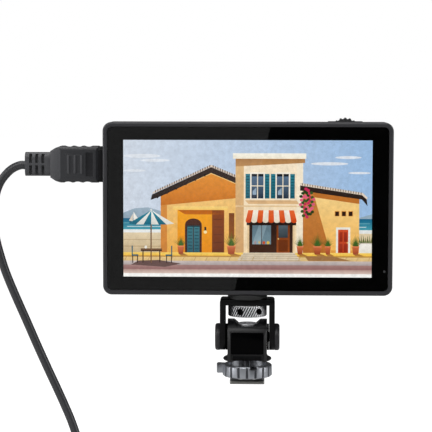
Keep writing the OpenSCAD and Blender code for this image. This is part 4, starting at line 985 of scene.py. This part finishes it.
def make_floor():
    """A floor that reaches far behind the object, and stops short of the glass's reflections in front."""
    bpy.ops.object.select_all(action="DESELECT")
    bpy.ops.mesh.primitive_plane_add(size=10, location=(0, 3.6, cad_low.z - 2 * MM))
    floor = bpy.context.object
    floor.name = "floor"
    floor.data.materials.append(floor_material())


def reflected_on(depth_y, point):
    """Where the camera sees, mirrored in the screen, the plane y = depth_y, for a point of the screen."""
    eye = camera_place()[0]
    mirrored = Vector((eye.x, 2 * point.y - eye.y, eye.z))
    return mirrored + (point - mirrored) * ((depth_y - mirrored.y) / (point.y - mirrored.y))


def make_screen_card():
    """A dim panel behind the camera, whose slanting edge shows in the glass."""
    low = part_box("cover_glass")[0]
    depth_y, reach, width = -1.4, 1.2, 2.4
    top = reflected_on(depth_y, Vector((0.0119, low.y, 0.1381)))
    foot = reflected_on(depth_y, Vector((-0.0069, low.y, 0.0498)))
    slope = (top - foot) / (top.z - foot.z)
    upper, lower = top + slope * reach, foot - slope * reach
    left = Vector((-width, 0, 0))
    bm = bmesh.new()
    bm.faces.new([bm.verts.new(p) for p in (lower, upper, upper + left, lower + left)])
    mesh = bpy.data.meshes.new("screen_card")
    bm.to_mesh(mesh)
    bm.free()
    card = placed("screen_card", mesh)
    material, _, shader = new_material("screen_card")
    shader.inputs["Base Color"].default_value = (0, 0, 0, 1)
    shader.inputs["Emission Color"].default_value = (1, 1, 1, 1)
    shader.inputs["Emission Strength"].default_value = 0.17
    mesh.materials.append(material)
    card.visible_camera = False
    card.visible_diffuse = False
    card.visible_shadow = False


def area_lamp(name, place, aim, width, height, power):
    data = bpy.data.lights.new(name, "AREA")
    data.shape = "RECTANGLE"
    data.size = width
    data.size_y = height
    data.energy = power
    lamp = placed(name, data)
    lamp.location = place
    lamp.rotation_euler = (Vector(aim) - Vector(place)).to_track_quat("-Z", "Y").to_euler()


def make_world():
    """White for the camera, and a soft fill for the rest."""
    world = bpy.data.worlds.new("studio")
    bpy.context.scene.world = world
    world.use_nodes = True
    tree = world.node_tree
    sky = tree.nodes["Background"]
    sky.inputs["Color"].default_value = (1, 1, 1, 1)
    path = tree.nodes.new("ShaderNodeLightPath").outputs
    axes = tree.nodes.new("ShaderNodeSeparateXYZ")
    tree.links.new(tree.nodes.new("ShaderNodeTexCoord").outputs["Generated"], axes.inputs[0])
    # Reflections see a dark room, a little paler behind the object than in front of it
    room = ranged(tree, axes.outputs["Y"], -0.25, 0.55, 0.012, 0.06)
    mirrored = maths(tree, "MAXIMUM", path["Is Glossy Ray"], path["Is Transmission Ray"])
    fill = blend(tree, mirrored, 0.25, room)
    tree.links.new(blend(tree, path["Is Camera Ray"], fill, 1.0), sky.inputs["Strength"])


def make_studio():
    make_floor()
    make_screen_card()
    make_world()
    aim = (0, 0, 0.07)
    area_lamp("front_box", (-0.35, -1.35, 1.3), aim, 1.5, 0.9, 14)
    area_lamp("left_box", (-1.25, -0.3, 0.35), aim, 0.8, 1.3, 7)
    area_lamp("right_box", (1.25, -0.3, 0.35), aim, 0.8, 1.3, 6)
    area_lamp("top_box", (0, 0.15, 1.3), aim, 1.2, 1.0, 8)


# ---- Build ----

bpy.context.scene.view_settings.view_transform = "Standard"
make_camera()
lead = make_lead()
dress_nodes()
make_display()
make_thumb_wheel()
make_cover_glass()
make_studio()
